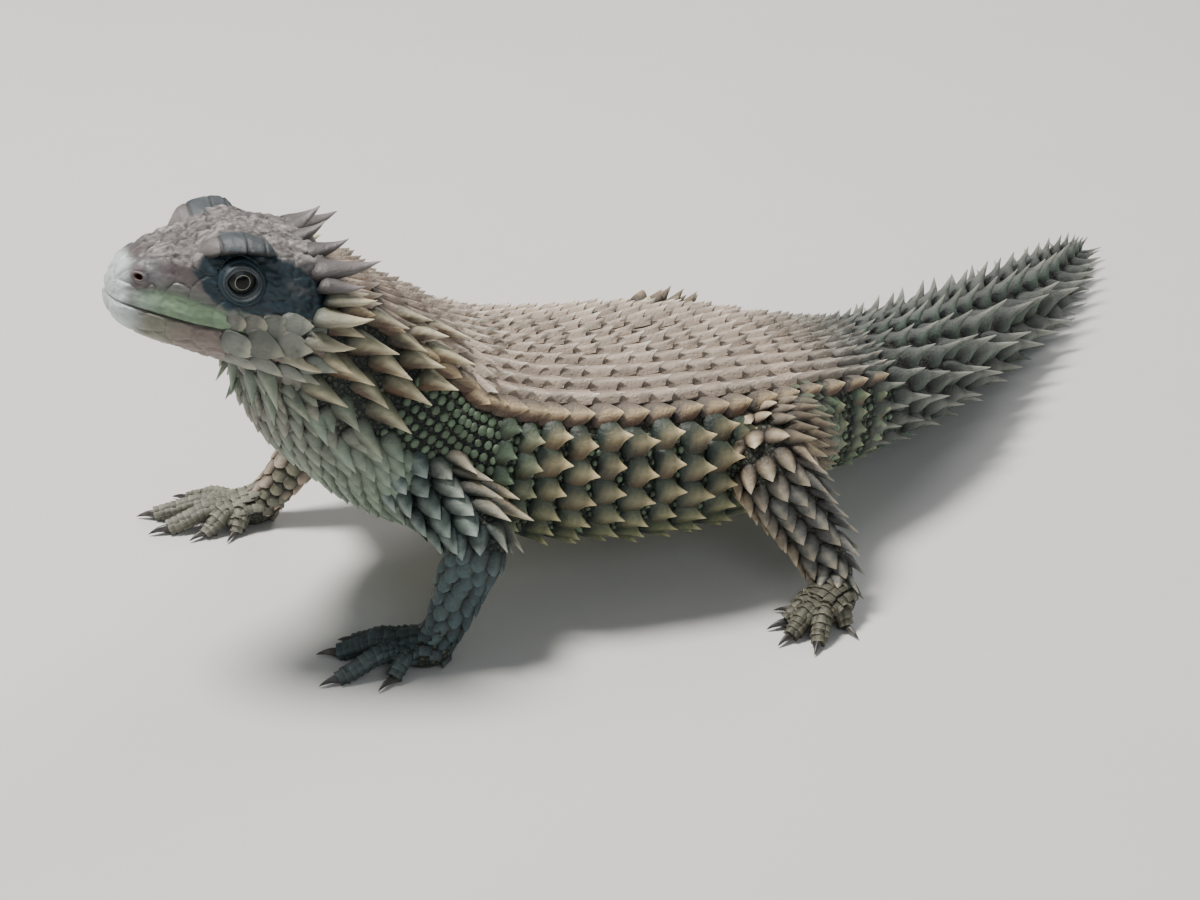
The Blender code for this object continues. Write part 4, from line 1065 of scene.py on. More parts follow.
def makeFlanks(rows):
    coat = Coat()
    for r, distance in enumerate(rows):
        x = body.at(distance)[0]
        if x < flankCoat["front"]:
            continue
        front = ramp(-x, 18, 32)  # behind the arm the scales are small and round
        rear = ramp(x, 20, 34)
        for k, base in enumerate(flankCoat["rows"]):
            grow = ramp(k, 0, 5)
            share = onSide(np.array([base + 1.6 * (r % 2)]) / backCoat["girth"])
            place = distance + 1.8 - 0.25 * k + 0.12 * k * k + luck.normal(0, 0.30, 2)
            small = (1 - 0.35 * front) * (1 - 0.42 * rear) * luck.uniform(0.84, 1.10)
            flat = (1 - 0.22 * grow) * (1 - 0.45 * front) * (1 - 0.40 * rear)
            size = (
                flankCoat["long"] * (1 - 0.06 * grow) * small,
                flankCoat["wide"] * (1 + 0.06 * grow) * (1 - 0.25 * front) * (1 - 0.25 * rear),
                flankCoat["high"] * flat * luck.uniform(0.8, 1.15),
            )
            root = blend(paint["flankRoot"], paint["lowRoot"], grow)
            middle = blend(paint["flank"], paint["low"], grow)
            middle = blend(middle, paint["bead"] * 1.2, np.maximum(front, rear)) * luck.uniform(0.75, 1.2)
            tip = blend(paint["flankTip"], paint["lowTip"], grow)
            tip = blend(tip, paint["bead"] * 2.4, np.maximum(front, 0.7 * rear))
            beneath = paint["flankLow"] * luck.uniform(0.20, 0.75)
            beneath = blend(beneath, paint["low"] * 0.8, np.maximum(grow, front))
            looks = {"rimShade": 0.75, "rootTo": 0.55, "tipFrom": 0.62, "line": 0.26, "beneath": beneath}
            lay(coat, "dome", body, place, share, size, (root, middle, tip), limit=1.5, twist=0.12, **looks)
    coat.finish("flankScales", "body_scales", "flank")


def makeBelly(rows):
    coat = Coat()
    for distance in rows[rows >= body.along(bellyCoat["start"])]:
        half = body.half(distance)
        count = int((1 - bellyCoat["from"]) * half / bellyCoat["column"]) + 1
        share = onSide(1 - (np.arange(count) + 0.5) * bellyCoat["column"] / half)
        inner = ramp(np.abs(share), bellyCoat["from"], 0.95)
        middle = blend(paint["low"] * 1.35, paint["belly"], inner)
        size = (backCoat["pitch"] * bellyCoat["long"], bellyCoat["column"] * 1.02, bellyCoat["high"])
        colours = (paint["lowRoot"], middle, middle * 1.25)
        lay(coat, "flat", body, distance + 5.0, share, size, colours, limit=1.2)
    coat.finish("bellyPlates", "body_scales", "flank")


def makeBeads():  # small round scales of the loose skin, between the big ones
    coat = Coat()
    distance, end = body.along(beadCoat["start"]), body.along(beadCoat["end"])
    while distance < end:
        half = body.half(distance)
        pit = float(ramp(-body.at(distance)[0], 22, 32))  # behind the arm
        pitch = beadCoat["pitch"] + beadCoat["pitPitch"] * pit
        shares = np.arange(beadCoat["from"], beadCoat["to"], pitch / half)
        share = onSide(shares) + luck.normal(0, 0.002, 2 * len(shares))
        offset = 0.5 * (1 - pit) * pitch * (np.arange(len(share)) % 2)
        place = distance + offset + luck.normal(0, 0.15, len(share))
        size = luck.uniform(0.66, 1.0 - 0.14 * pit, len(share)) * pitch
        bright = luck.uniform(0, 1, len(share)) ** 2 * (1 - 0.5 * pit) + 0.45 * pit
        tint = blend(paint["bead"] * 0.35, paint["bead"] * 1.6, bright)
        sizes = (size * 0.95, size * (1 + 0.12 * pit), size * (0.75 - 0.2 * pit))
        tones = (tint * 0.85, tint, tint * 1.15)
        lay(coat, "bead", body, place, share, sizes, tones, twist=0.3, rimShade=0.15, tipFrom=0.9)
        distance += pitch
    coat.finish("flankBeads", "body_scales", "flank")


# The scales of the neck and throat.
neckCoat = {
    "pitch": 6.9,
    "rows": (15.5, 22.0, 28.5, 35.0, 41.5, 48.0),  # round from the nape
    "start": 2.0,
    "end": 30.0,
    "size": (9.4, 5.2, 2.8),  # long, wide and high at the nape
}
throatCoat = {
    "pitch": 3.4,
    "column": 3.7,
    "start": 2.0,
    "end": -40.0,
    "lowest": 0.995,
    "size": (5.4, 3.7, 2.0),
}


def makeNeck():
    coat = Coat()
    for r, distance in enumerate(np.arange(neckCoat["start"], neckCoat["end"], neckCoat["pitch"])):
        half = body.half(distance)
        for base in neckCoat["rows"]:
            if base > 30 and distance > 24:
                continue
            share = onSide(np.array([base + 3.2 * (r % 2)]) / half)
            side = float(ramp(base, 8, 20))
            low = float(ramp(base, 30, 46))
            place = distance + luck.normal(0, 0.5, 2)
            grown = luck.uniform(0.88, 1.12)
            long, wide, high = neckCoat["size"]
            size = ((long + 1.6 * side - 1.8 * low) * grown, wide + 0.9 * side, high + 2.4 * side - 1.6 * low)
            middle = blend(blend(paint["back"], paint["neck"], side), paint["collar"], low)
            middle = middle * luck.uniform(0.7, 1.2, (2, 1))
            tip = blend(blend(paint["backTip"], paint["neckTip"], side), paint["collar"] * 2.2, low)
            root = blend(paint["neckRoot"], paint["armRoot"], low)
            beneath = blend(paint["neckLow"] * luck.uniform(0.25, 0.85), paint["collar"] * 0.55, low)
            looks = {"rimShade": 0.45, "tipFrom": 0.55, "line": 0.5, "beneath": beneath}
            seat = {"limit": 2.4, "twist": 0.22, "clear": offHead}
            tilt = 0.16 * side + luck.uniform(-0.05, 0.08)
            lay(coat, "thorn", body, place, share, size, (root, middle, tip), tilt=tilt, **seat, **looks)
    coat.finish("neckSpines", "neck_scales", "neck")


def makeThroat():  # close rows of small scales from the jaw down to the chest
    coat = Coat()
    end, lowest = body.along(throatCoat["end"]), throatCoat["lowest"]
    for r, distance in enumerate(np.arange(throatCoat["start"], end, throatCoat["pitch"])):
        half = body.half(distance)
        low = 0.72 - 0.10 * float(ramp(distance, 18, 30))
        shares = np.arange(low, lowest, throatCoat["column"] / half) + 1.8 / half * (r % 2)
        share = onSide(np.minimum(shares, lowest))
        tint = blend(paint["throat"], paint["collar"] * 0.8, luck.uniform(0, 1, len(share)))
        tint = blend(tint, paint["collar"], float(ramp(distance, 14, 34)))
        grown = 1 + 0.45 * float(ramp(distance, 8, 30))
        size = [value * grown for value in throatCoat["size"]]
        looks = {"rimShade": 0.5, "tipFrom": 0.6, "line": 0.35}
        tones = (tint * 0.12, tint, tint * 2.0)
        lay(coat, "leaf", body, distance, share, size, tones, limit=2.4, clear=offHead, **looks)
    coat.finish("throatScales", "neck_scales", "flank")


# The scales of the tail.
tailCoat = {
    # by share of the tail: from whorl to whorl, then from spine to spine round it
    "pitch": ((0.0, 7.0), (0.10, 8.6), (0.35, 12.0), (0.7, 11.4), (0.9, 8.6), (1.0, 6.0)),
    "column": ((0.0, 5.0), (0.15, 6.0), (0.4, 6.8), (1.0, 6.4)),
    "high": 7.6,
}


def makeTail():
    coat = Coat()
    distance, end, row = body.along(trunk["tail"]), body.length - 3.0, 0
    first = distance
    while distance < end:
        share = (distance - first) / (end - first)
        pitch = np.interp(share, *zip(*tailCoat["pitch"]))
        half = body.half(distance)
        count = max(4, round(half / np.interp(share, *zip(*tailCoat["column"]))))
        every = onSide((np.arange(count) + 0.5) / count)
        away = np.abs(every)
        under = ramp(away, 0.60, 0.80)
        lateral = np.exp(-(((away - 0.45) / 0.16) ** 2))
        size = np.interp(share, (0, 0.18, 0.55, 1.0), (0.42, 0.80, 1.0, 0.62))
        high = tailCoat["high"] * size * (0.82 + 0.30 * lateral - 0.45 * under)
        long = pitch * (1.28 + 0.18 * lateral - 0.12 * under)
        wide = half / count * (1.14 + 0.04 * lateral)
        # The spines low on the tail and the lower half of each spine are painted darker and greener, as
        # shade.
        middle = blend(paint["tail"], paint["underTailShade"], under) * (1 + luck.normal(0, 0.07, (len(every), 1)))
        tip = blend(paint["tailTip"] * (0.72 + 0.6 * lateral)[:, None], paint["underTailShade"] * 3.2, under)
        place = distance + pitch * 0.5 + luck.normal(0, 0.25, len(every))
        looks = {"rimShade": 0.4, "tipFrom": 0.60, "line": 0.25, "beneath": paint["underTailShade"] * 1.2}
        tones = (paint["tailRoot"], middle, tip)
        lay(coat, "rose", body, place, every, (long, wide, high), tones, limit=2.5, twist=0.08, **looks)
        distance += pitch
        row += 1
    coat.finish("tailSpines", "body_scales", "back")
    print("tail whorls", row)


# The scales of the limbs.
limbCoat = {  # row pitch, width of a scale, length, height
    "upperArm": (4.8, 5.4, 8.2, 3.2),
    "forearm": (3.5, 3.9, 5.2, 1.2),
    "thigh": (3.8, 4.3, 5.8, 2.5),
    "shank": (4.5, 5.0, 6.6, 2.6),
}


def thighLie(backs, outs):  # down over its front, to the rear over its top
    ahead = -outs[:, :1]
    return backs * 0.25 + (1 - ahead) * np.array((0.55, 0, 0)) - (1 + ahead) * np.array((0, 0, 0.45))


def makeLimbs():
    coat = Coat()
    for name, tube in limbTubes.items():
        arm, far = name.endswith("Arm"), name.startswith("right")
        outer = {"leftArm": 1, "rightArm": -1, "leftLeg": -1, "rightLeg": 1}[name]
        bend, low = tube.near(limbs[name][1]), tube.near(limbs[name][2])
        distance, row = (3.0 if arm else 8.0), 0
        while distance < tube.length - 3.0:
            lower = float(ramp(distance, bend - 3, bend + 4))
            upperSet = np.array(limbCoat["upperArm" if arm else "thigh"])
            lowerSet = np.array(limbCoat["forearm" if arm else "shank"])
            pitch, wide, long, high = upperSet + (lowerSet - upperSet) * lower
            shrink = 1 - 0.30 * float(ramp(distance, low - 6, low + 5))
            hip = 0.0 if arm else 1 - float(ramp(distance, 14, 23))
            count = max(6, round(2 * tube.half(distance) / (wide * shrink)))
            share = ((np.arange(count) + 0.5 * (row % 2)) / count * 2) % 2 - 1
            toward = share * outer  # legs: out, up and back; arms: out, up and forward
            inner = ramp(np.abs(share), 0.70, 0.90)
            if arm:
                spine = np.exp(-(((toward + 0.05) / 0.26) ** 2)) * ramp(distance, 6, 14) * (1 - 0.7 * lower)
                front = np.exp(-(((toward - 0.50) / 0.20) ** 2))
                # The arms are painted as in shade: the forearm turns to armShadeSlate, painted shade.
                middle = blend(paint["arm"], paint["armShadeSlate"], np.full(count, lower * 0.92))
                tip = blend(paint["armTip"], paint["armShadeSlate"] * 2.4, np.full(count, lower * 0.94))
                middle = blend(middle, paint["leg"] * 0.8, spine * (1 - lower) * 0.8)
                tip = blend(tip, paint["legTip"], spine * (1 - lower))
                # A paler band down the forearm's front is painted light on its lit edge.
                middle = blend(middle, paint["arm"] * 1.1, front * lower * 0.9)
                root = paint["armRoot"]
                # The far arm takes a lit copy of the same colours: painted light.
                if far:
                    middle = blend(middle, paint["farArmLit"], np.full(count, 0.85))
                    tip, root = blend(tip, paint["farArmLit"] * 1.5, np.full(count, 0.8)), paint["legRoot"] * 2.2
            else:
                spine = ramp(toward, 0.20, 0.46) * (1 - ramp(toward, 0.74, 0.90)) * ramp(distance, 8, 14)
                spine = spine * (1 - 0.35 * lower)
                cold = ramp(distance, bend - 1, bend + 8) * 0.9 * ramp(toward, -0.42, -0.12)
                # The top and rear of the thigh, and all of it near the hip, are painted darker as shade.
                shadeBehind = np.maximum(ramp(toward, 0.0, 0.35), 1 - ramp(distance, 18, 30)) * (1 - lower)
                middle = blend(blend(paint["leg"], paint["leg"] * 0.30, shadeBehind), paint["shin"], cold)
                tip = blend(paint["legTip"], paint["legTip"] * 0.36, shadeBehind)
                tip = blend(tip, paint["legTip"] * 0.5, cold)
                root = paint["legRoot"]
            middle = blend(middle, paint["bead"], np.maximum(inner * 0.7, hip * 0.95))
            middle = middle * luck.uniform(0.8, 1.15, (count, 1))
            tip = blend(tip, middle * 1.5, np.maximum(inner * 0.8, hip * 0.85))
            spine = spine * (1 - hip)
            size = np.stack([
                long * shrink * (1 - 0.35 * inner) * (1 - 0.25 * hip) * (1 + 0.38 * spine),
                np.full(count, 2 * tube.half(distance) / count * 1.10),
                high * shrink * (1 - 0.50 * hip) * (1 - 0.5 * inner) * (1 + 0.85 * spine),
            ])
            thorny = (spine > 0.45) & (not (far and arm))
            looks = {"rimShade": 0.92, "rootTo": 0.50, "tipFrom": 0.66, "line": 0.34}
            seat = {"limit": 1.8, "twist": 0.14, "clear": None if arm else offBack}
            seat["lie"] = thighLie if not arm and lower < 0.5 else None
            steep = 0.65 if name == "rightLeg" else 0.12
            smooth = "boss" if arm and (far or lower > 0.5) else "leaf"
            for kind, these in (("thorn", thorny), (smooth, ~thorny)):
                colours = (root, middle[these], tip[these])
                seat["tilt"] = (0.06 + steep * spine)[these]
                lay(coat, kind, tube, distance, share[these], size[:, these], colours, **seat, **looks)
            distance += pitch * shrink * (1 - 0.42 * math.exp(-(((distance - bend) / 8.0) ** 2)))
            row += 1
    coat.finish("limbScales", "limb_scales", "limb")


def offBack(places):  # true outside the trunk's own outline
    keep = np.ones(len(places), bool)
    for i, place in enumerate(places):
        distance = body.near(place)
        middle, wide, high = body.at(distance)[:3], body.at(distance)[3], body.at(distance)[4]
        away = place - middle
        keep[i] = math.hypot(np.hypot(*away[:2]) / (wide - 1.0), away[2] / (high - 1.0)) > 1.0
    return keep


# The scales and claws of the hands and feet.
footCoat = {
    "pitch": 1.55,  # from row to row along a toe
    "shares": (0.0, 0.42, -0.42, 0.78, -0.78),  # where the scales of a row stand round the toe
    "widths": (0.62, 0.42, 0.42, 0.40, 0.40),  # as shares of half the way round
    "padPitch": 2.1,
    "padScale": (3.0, 2.3, 0.9),  # long, wide, high
    "padSpot": 0.003,  # of the UV map, to a millimetre
    "clawTones": ((0.2, 0.2, 0.2), (0.2, 0.2, 0.2), (0.1, 0.1, 0.1)),
}


def padSeats(name):  # rays from above onto the hand or foot
    pad, ahead, across = footAxes(name)
    long, wide, _ = padSizes[name[-3:]]
    seats = []
    for a in np.arange(-long, long, footCoat["padPitch"]):
        for b in np.arange(-wide, wide, footCoat["padPitch"]):
            start = pad + ahead * a + across * b + np.array((0, 0, 6.0))
            here, normal, _, _ = tree.ray_cast(Vector(start), Vector((0, 0, -1)))
            if here is not None and here[2] > 1.0:
                out = unit(np.array(normal) + np.array((0, 0, 0.4)))
                spot = (0.5 + a * footCoat["padSpot"], 0.8 + b * footCoat["padSpot"])
                seats.append((np.array(here), ahead, out, spot))
    return [np.array(column) for column in zip(*seats)]


def makeFeet():
    coat, claws = Coat(), Coat()
    share, widths = np.array(footCoat["shares"]), np.array(footCoat["widths"])
    low = (np.abs(share) > 0.6)[:, None]
    for name in limbs:
        # The far hand is painted paler as lit, the near hand darker and bluer as in shade.
        pale = 0.75 if name == "rightArm" else 0.0
        cold = 0.65 if name == "leftArm" else 0.0
        tint = blend(blend(paint["toe"], paint["throat"], pale), paint["armShadeSlate"] * 1.7, cold)
        for tube, end, tip, size, way in toes[name]:
            for distance in np.arange(0.5, tube.length - 0.2, footCoat["pitch"]):
                sizes = (footCoat["pitch"] * 1.5, tube.half(distance) * widths, 1.0)
                # The scales low on a toe's sides are painted a quarter darker, as shade.
                shade = tint * (1 - 0.25 * low) * luck.uniform(0.85, 1.15, (len(share), 1))
                tones = (tint * 0.25, shade, shade * 1.7)
                lay(coat, "flat", tube, distance, share, sizes, tones, limit=1.2, twist=0.03)
            root = end + np.array((0, 0, size * 0.05)) - way * 0.9
            reach = np.linalg.norm(tip - root)
            down = unit(tip - root)
            out = unit(np.cross(np.cross(down, (0, 0, 1)), down))
            sizes = (reach * 1.18, size * 1.7, size * 2.0)
            claws.stampOne("horn", root, down, out, (0.9, 0.9), sizes, footCoat["clawTones"])
        places, backs, outs, spots = padSeats(name)
        shade = tint * luck.uniform(0.8, 1.2, (len(places), 1))
        tones = (tint * 0.25, shade, shade * 1.6)
        coat.stamp("flat", places, backs, outs, spots, footCoat["padScale"], tones)
    coat.finish("toeScutes", "foot_scales", "limb")
    claws.finish("claws", "foot_scales", "claw")


backRows = makeBack()
makeFlanks(backRows)
makeBelly(backRows)
makeBeads()
makeNeck()
makeThroat()
makeTail()
makeLimbs()
makeFeet()
print("coat laid")

# The head's shields, lips and cheeks are one shell over the skin, grooved between its plates.
shell = {"step": 0.34, "turns": 400, "fronts": 30, "rise": 0.62, "groove": 0.60, "tEnd": 44.5, "frontT": 8.0}
crownSeeds = (  # t, side, up. Those off the middle are mirrored.
    (0.2, 0.0, 1.2), (2.6, 2.7, 5.4), (7.0, 0.0, 8.6), (10.2, 3.6, 9.6), (14.0, 0.0, 11.4), (18.5, 0.0, 13.4),
    (14.6, 7.2, 11.0), (19.0, 6.6, 13.8), (16.6, 11.2, 11.2), (20.6, 11.6, 13.9), (24.8, 11.6, 14.6),
    (28.8, 11.2, 14.4), (23.6, 2.9, 14.9), (24.2, 7.4, 15.2), (28.6, 6.2, 15.2), (28.6, 0.0, 15.0),
    (32.6, 3.0, 14.8), (33.2, 8.6, 14.6), (33.0, 13.4, 13.2), (37.2, 0.0, 14.2), (37.6, 5.4, 14.0),
    (38.0, 10.6, 13.6), (38.4, 15.4, 11.4), (42.4, 2.6, 13.6), (42.6, 8.0, 13.2), (43.0, 13.4, 12.2),
)
sideSeeds = (  # t and up, on both sides
    (5.0, 3.6), (3.6, 0.4), (7.9, 0.2), (12.6, -0.3), (17.4, -0.8), (22.2, -1.1), (27.0, -0.9), (31.6, -0.2),
    (9.8, 5.4), (13.6, 6.6), (13.2, 3.0), (17.0, 2.6), (33.0, 10.2), (33.2, 6.4), (32.8, 2.8), (37.2, 8.6),
    (37.0, 4.8), (36.6, 1.2), (36.4, -2.6), (41.2, 9.0), (41.4, 5.4), (41.0, -2.6), (40.0, -6.6),
    (3.2, -3.8), (8.2, -4.6), (13.6, -5.3), (19.2, -5.8), (25.0, -6.2), (30.8, -6.0), (36.0, -7.0),
    (10.0, -8.0), (16.0, -8.8), (22.4, -9.6), (29.0, -10.4), (35.2, -11.2),
)


def castIn(start, towards):  # from outside, onto the skin or the head's uncut hull, whichever is met first
    outside = Vector(start + towards * 60)
    hits = [found.ray_cast(outside, Vector(-towards)) for found in (tree, hullTree)]
    hits = [hit for hit in hits if hit[0] is not None]
    if not hits:
        return start, towards
    here, normal, _, _ = min(hits, key=lambda hit: hit[3])
    return np.array(here), np.array(normal)


def hullOf():
    made = skullObject()
    found = treeOf([vert.co for vert in made.data.vertices], made.data)
    bpy.data.objects.remove(made, do_unlink=True)
    return found


hullTree = hullOf()


def shellGrid():  # rays round the snout's front, then along the head
    fronts = np.linspace(0, math.pi / 2, shell["fronts"])[1:]
    backs = np.arange(shell["frontT"], shell["tEnd"], shell["step"])[1:]
    phis = np.arange(shell["turns"]) * 2 * math.pi / shell["turns"]
    grid = np.zeros((len(fronts) + len(backs) + 1, shell["turns"], 3))
    middle = skull.place(shell["frontT"], 0, 0.0)
    grid[0] = castIn(middle, -skull.back)[0]
    for j, phi in enumerate(phis):
        spoke = skull.left * math.sin(phi) + skull.up * math.cos(phi)
        for i, turn in enumerate(fronts):
            grid[i + 1, j] = castIn(middle, spoke * math.sin(turn) - skull.back * math.cos(turn))[0]
        for i, t in enumerate(backs):
            grid[i + 1 + len(fronts), j] = castIn(skull.place(t, 0, 0.0), spoke)[0]
    return grid


def gridNormals(grid):
    along = np.gradient(grid, axis=0)
    wrapped = np.concatenate([grid[:, -1:], grid, grid[:, :1]], 1)
    around = np.gradient(wrapped, axis=1)[:, 1:-1]
    out = unit(np.cross(along, around))
    centre = skull.place(np.clip(skull.read(grid)[0], 8, 60), 0, 0)
    return out * np.sign((out * (grid - centre)).sum(-1, keepdims=True))


marks = {  # edges of the head's markings, as t and up
    "crownLow": (
        (0, 6.4), (3.3, 7.2), (6.6, 8.2), (10, 7.9), (15.2, 8.2), (16.5, 8.8), (18.3, 11.3), (21.2, 13.6),
        (28, 13.8), (31, 12.3), (33, 11.3), (38.4, 11.0), (47, 9.4),
    ),
    "templeLow": (
        (16, 7.5), (17.5, 4.6), (19, 2.9), (22, 1.8), (27, 0.9), (33, 1.3), (39, 0.9), (43, 2.3), (47, 4.6),
    ),
    "templeFront": ((0, 20.5), (3.5, 17.6), (9, 15.4)),  # as up and t
    "lipTop": (
        (1.5, -0.6), (3.0, 0.8), (4.9, 1.8), (8.9, 2.5), (12.7, 2.4), (17.3, 1.6), (21.8, 0.7), (23.6, -1.6),
    ),
}


def edgeOf(name, value):
    return np.interp(value, *zip(*marks[name]))


def headTone(t, side, up, chance):  # the markings of the head, as on the animal
    mouth = np.interp(t, mouthT, mouthUp)
    side = np.abs(side)
    wobble = 0.5 * np.sin(t * 0.9 + up * 0.7) + 0.35 * np.sin(t * 2.1 - up) + 0.8 * (chance - 0.5)
    tint = np.tile(paint["lore"], (*t.shape, 1))
    tint = blend(tint, paint["cheek"], ramp(t, 19, 24))
    nose = ramp(t, 1.6, 3.2) * (1 - ramp(t, 8.5, 11.0)) * ramp(up, 2.4, 3.8) * ramp(side, 3.0, 4.5)
    tint = blend(tint, paint["nose"], nose * 0.8)
    muzzle = (1 - ramp(t + 0.3 * side, 4.0, 7.4)) * (1 - ramp(up, 5.6, 7.4))
    tint = blend(tint, paint["snout"], muzzle)
    above = up - edgeOf("lipTop", t)
    tint = blend(tint, paint["cheek"] * 0.75, (1 - ramp(above, 0.5, 4.0)) * ramp(t, 7, 11) * 0.7)
    lip = (1 - ramp(above, -1.0, 0.9)) * ramp(up - mouth, -0.15, 0.15) * ramp(t, 2.4, 6.5)
    green = blend(paint["lip"], paint["snout"] * 0.8, (1 - ramp(t, 3.5, 12)) * 0.45)
    tint = blend(tint, green, lip * 0.95)
    crown = ramp(up - edgeOf("crownLow", t) + 0.5 * wobble, -0.7, 0.5)
    dark = ramp(t - edgeOf("templeFront", up) + wobble, -0.9, 0.9)
    dark = dark * ramp(up - edgeOf("templeLow", t) + 0.5 * wobble, -0.7, 0.5)
    tint = blend(tint, paint["temple"], dark)
    flecks = dark * ramp(t, 33, 37) * ramp(up, 4.5, 7.0)
    tint = blend(tint, paint["crown"] * 0.55, flecks * ramp(chance, 0.3, 0.8) * 0.8)
    tint = blend(tint, paint["crown"] * (0.8 + 0.5 * chance)[..., None], crown)
    jaw = ramp(mouth - up, -0.05, 0.3) * (1 - ramp(t, 27, 32) * ramp(up, -4, -1.5))
    front = 1 - ramp(t, 2.5, 8.5)
    under = blend(blend(paint["jaw"], paint["snout"], front), paint["throat"] * 0.9, ramp(-up, 9.5, 13.0))
    under = blend(under, paint["lip"] * 0.8, np.exp(-(((t - 9) / 5.0) ** 2)) * 0.35)
    tint = blend(tint, under, jaw)
    fromNostril = np.hypot(t - head["nostril"][0], up - head["nostril"][2])
    red = np.exp(-((fromNostril / 1.25) ** 2)) * (side > 3.5)
    tint = blend(tint, paint["nostrilRed"], red * 0.75)
    return tint * (0.88 + 0.24 * chance)[..., None]


def grit(points, size, seed):  # uneven ground, about -1 to 1
    dice = np.random.default_rng(seed)
    total = np.zeros(points.shape[:-1])
    for octave in range(4):
        wave = 2 * math.pi / size * 1.9**octave
        for _ in range(5):
            total += np.sin(points @ (unit(dice.normal(0, 1, 3)) * wave) + dice.uniform(0, 6.3)) / 1.7**octave
    return total / 4


def headSeeds():  # the middles of the head's plates
    seeds = []
    for t, aside, up in crownSeeds:
        seeds += [skull.place(t, aside * sign, up) for sign in ((1, -1) if aside else (1,))]
    for t, up in sideSeeds:
        seeds += [castIn(skull.place(t, 0, up), skull.left * sign)[0] for sign in (1, -1)]
    for t in np.arange(3.0, 44, 2.5):  # small scales under the chin
        for aside in np.arange(-16, 16.1, 2.5):
            start = skull.place(t, aside + 1.25 * (round(t / 2.5) % 2), -30)
            here, _, _, _ = tree.ray_cast(Vector(start), Vector(skull.up))
            if here is not None and skull.read(np.array(here))[2] < -9.2 - 0.09 * t:
                seeds.append(np.array(here))
    return np.array(seeds) + luck.normal(0, 0.25, (len(seeds), 3))


def makeHeadShell():
    grid = shellGrid()
    normals = gridNormals(grid)
    t, side, up = skull.read(grid)
    seeds = headSeeds()
    flat = grid.reshape(-1, 3)
    warp = np.stack([grit(flat, 5.0, k) for k in (1, 2, 3)], -1) * 0.55
    owner, gap, chunk = np.zeros(len(flat), int), np.zeros(len(flat)), 8000
    for k in range(0, len(flat), chunk):
        apart = np.linalg.norm((flat + warp)[k : k + chunk, None] - seeds[None], axis=2)
        order = np.argpartition(apart, 1, axis=1)[:, :2]
        pair = np.take_along_axis(apart, order, 1)
        owner[k : k + chunk] = order[np.arange(len(pair)), pair.argmin(1)]
        gap[k : k + chunk] = (pair.max(1) - pair.min(1)) / 2
    gap = gap.reshape(t.shape)
    chance = luck.uniform(0, 1, len(seeds))[owner].reshape(t.shape)
    mouth = up - np.interp(t, mouthT, mouthUp)
    closed = 1 - ramp(t, 27.0, 30.5)
    slit = (1 - ramp(np.abs(mouth), 0.05, 0.42)) * closed * (0.5 + 0.5 * ramp(t, 1, 7))
    rugose = ramp(up - edgeOf("crownLow", t), -0.8, 0.6)
    temple = ramp(t, 17, 20) * ramp(up - edgeOf("templeLow", t), -0.5, 0.6) * (1 - rugose)
    lip = np.exp(-(((mouth - 1.5) / 1.5) ** 2)) * closed * ramp(t, 2, 5)
    nose = np.exp(-(((t - 5.6) / 3.4) ** 2) - ((up - 5.2) / 2.6) ** 2) * ramp(np.abs(side), 3, 5)
    rim = np.exp(-(((up - edgeOf("crownLow", t)) / 1.3) ** 2)) * ramp(t, 2.5, 5.0)
    rim = rim * ramp(np.abs(side), 4.5, 7.5)
    rough = grit(grid, 2.6, 7) * (0.10 + 0.17 * rugose) + grit(grid, 1.6, 8) * 0.12 * rugose
    fibre = np.sin(up * 3.1 + t * 0.35 + 2.2 * grit(grid, 7.0, 9)) * 0.09 * temple
    fibre = fibre + grit(grid, 1.4, 10) * 0.10 * temple
    plate = shell["rise"] * (0.55 + 0.30 * rugose) * (1 - 0.45 * temple)
    band = ramp(edgeOf("lipTop", t) - up, -0.9, 0.3) * ramp(mouth, -0.4, 0.2) * closed
    lift = 0.12 + plate * ramp(gap, 0.02, shell["groove"]) * (1 + 0.5 * (chance - 0.5)) * (1 - 0.85 * band)
    lift = lift + rough + fibre + 0.45 * lip + 0.8 * nose + 0.75 * rim - 0.65 * slit
    edge = ramp(t, shell["tEnd"] - 2.0, shell["tEnd"] - 0.6)
    lift = lift * (1 - edge) - 0.5 * edge
    points = grid + normals * lift[..., None]
    tone = headTone(t, side, up, chance)
    # The grooves between plates are painted dark: the seams' own dark line and painted shade in the grooves;
    # the mouth's slit is painted dark as shade.
    dark = (1 - ramp(gap, 0.0, 0.22)) * np.clip(0.34 + 0.36 * rugose + 0.36 * temple - 0.12 * band, 0, 1)
    tone = blend(tone, paint["groove"], np.clip(np.maximum(dark, slit * 0.62), 0, 1))
    speckle = (0.45 * grit(grid, 3.4, 12) + 0.55 * grit(grid, 1.4, 13)) * (0.15 + 0.85 * rugose)
    tone = tone * np.clip(1 + speckle, 0.3, 2.0)[..., None]
    eyeT, _, eyeUp = eye["middle"]
    onEye = (np.hypot(t - eyeT, up - eyeUp) < eye["lidOuter"] - 0.25) & (np.abs(side) > 6)
    noseT, _, noseUp = head["nostril"]
    onNose = (np.hypot((t - noseT) * 0.85, (up - noseUp) * 1.3) < 0.66) & (np.abs(side) > 3.5)
    holes = (onEye | onNose).reshape(-1)
    faces = ringFaces(*t.shape)
    headPiece("headShields", points, faces[~holes[faces].any(1)], tone, rugose, weld=True)


makeHeadShell()

# Eyes, lids and nostrils.
lids = {"turns": 72, "steps": 16, "folds": 3, "fold": 0.20, "bulge": 0.60, "thick": 0.35}


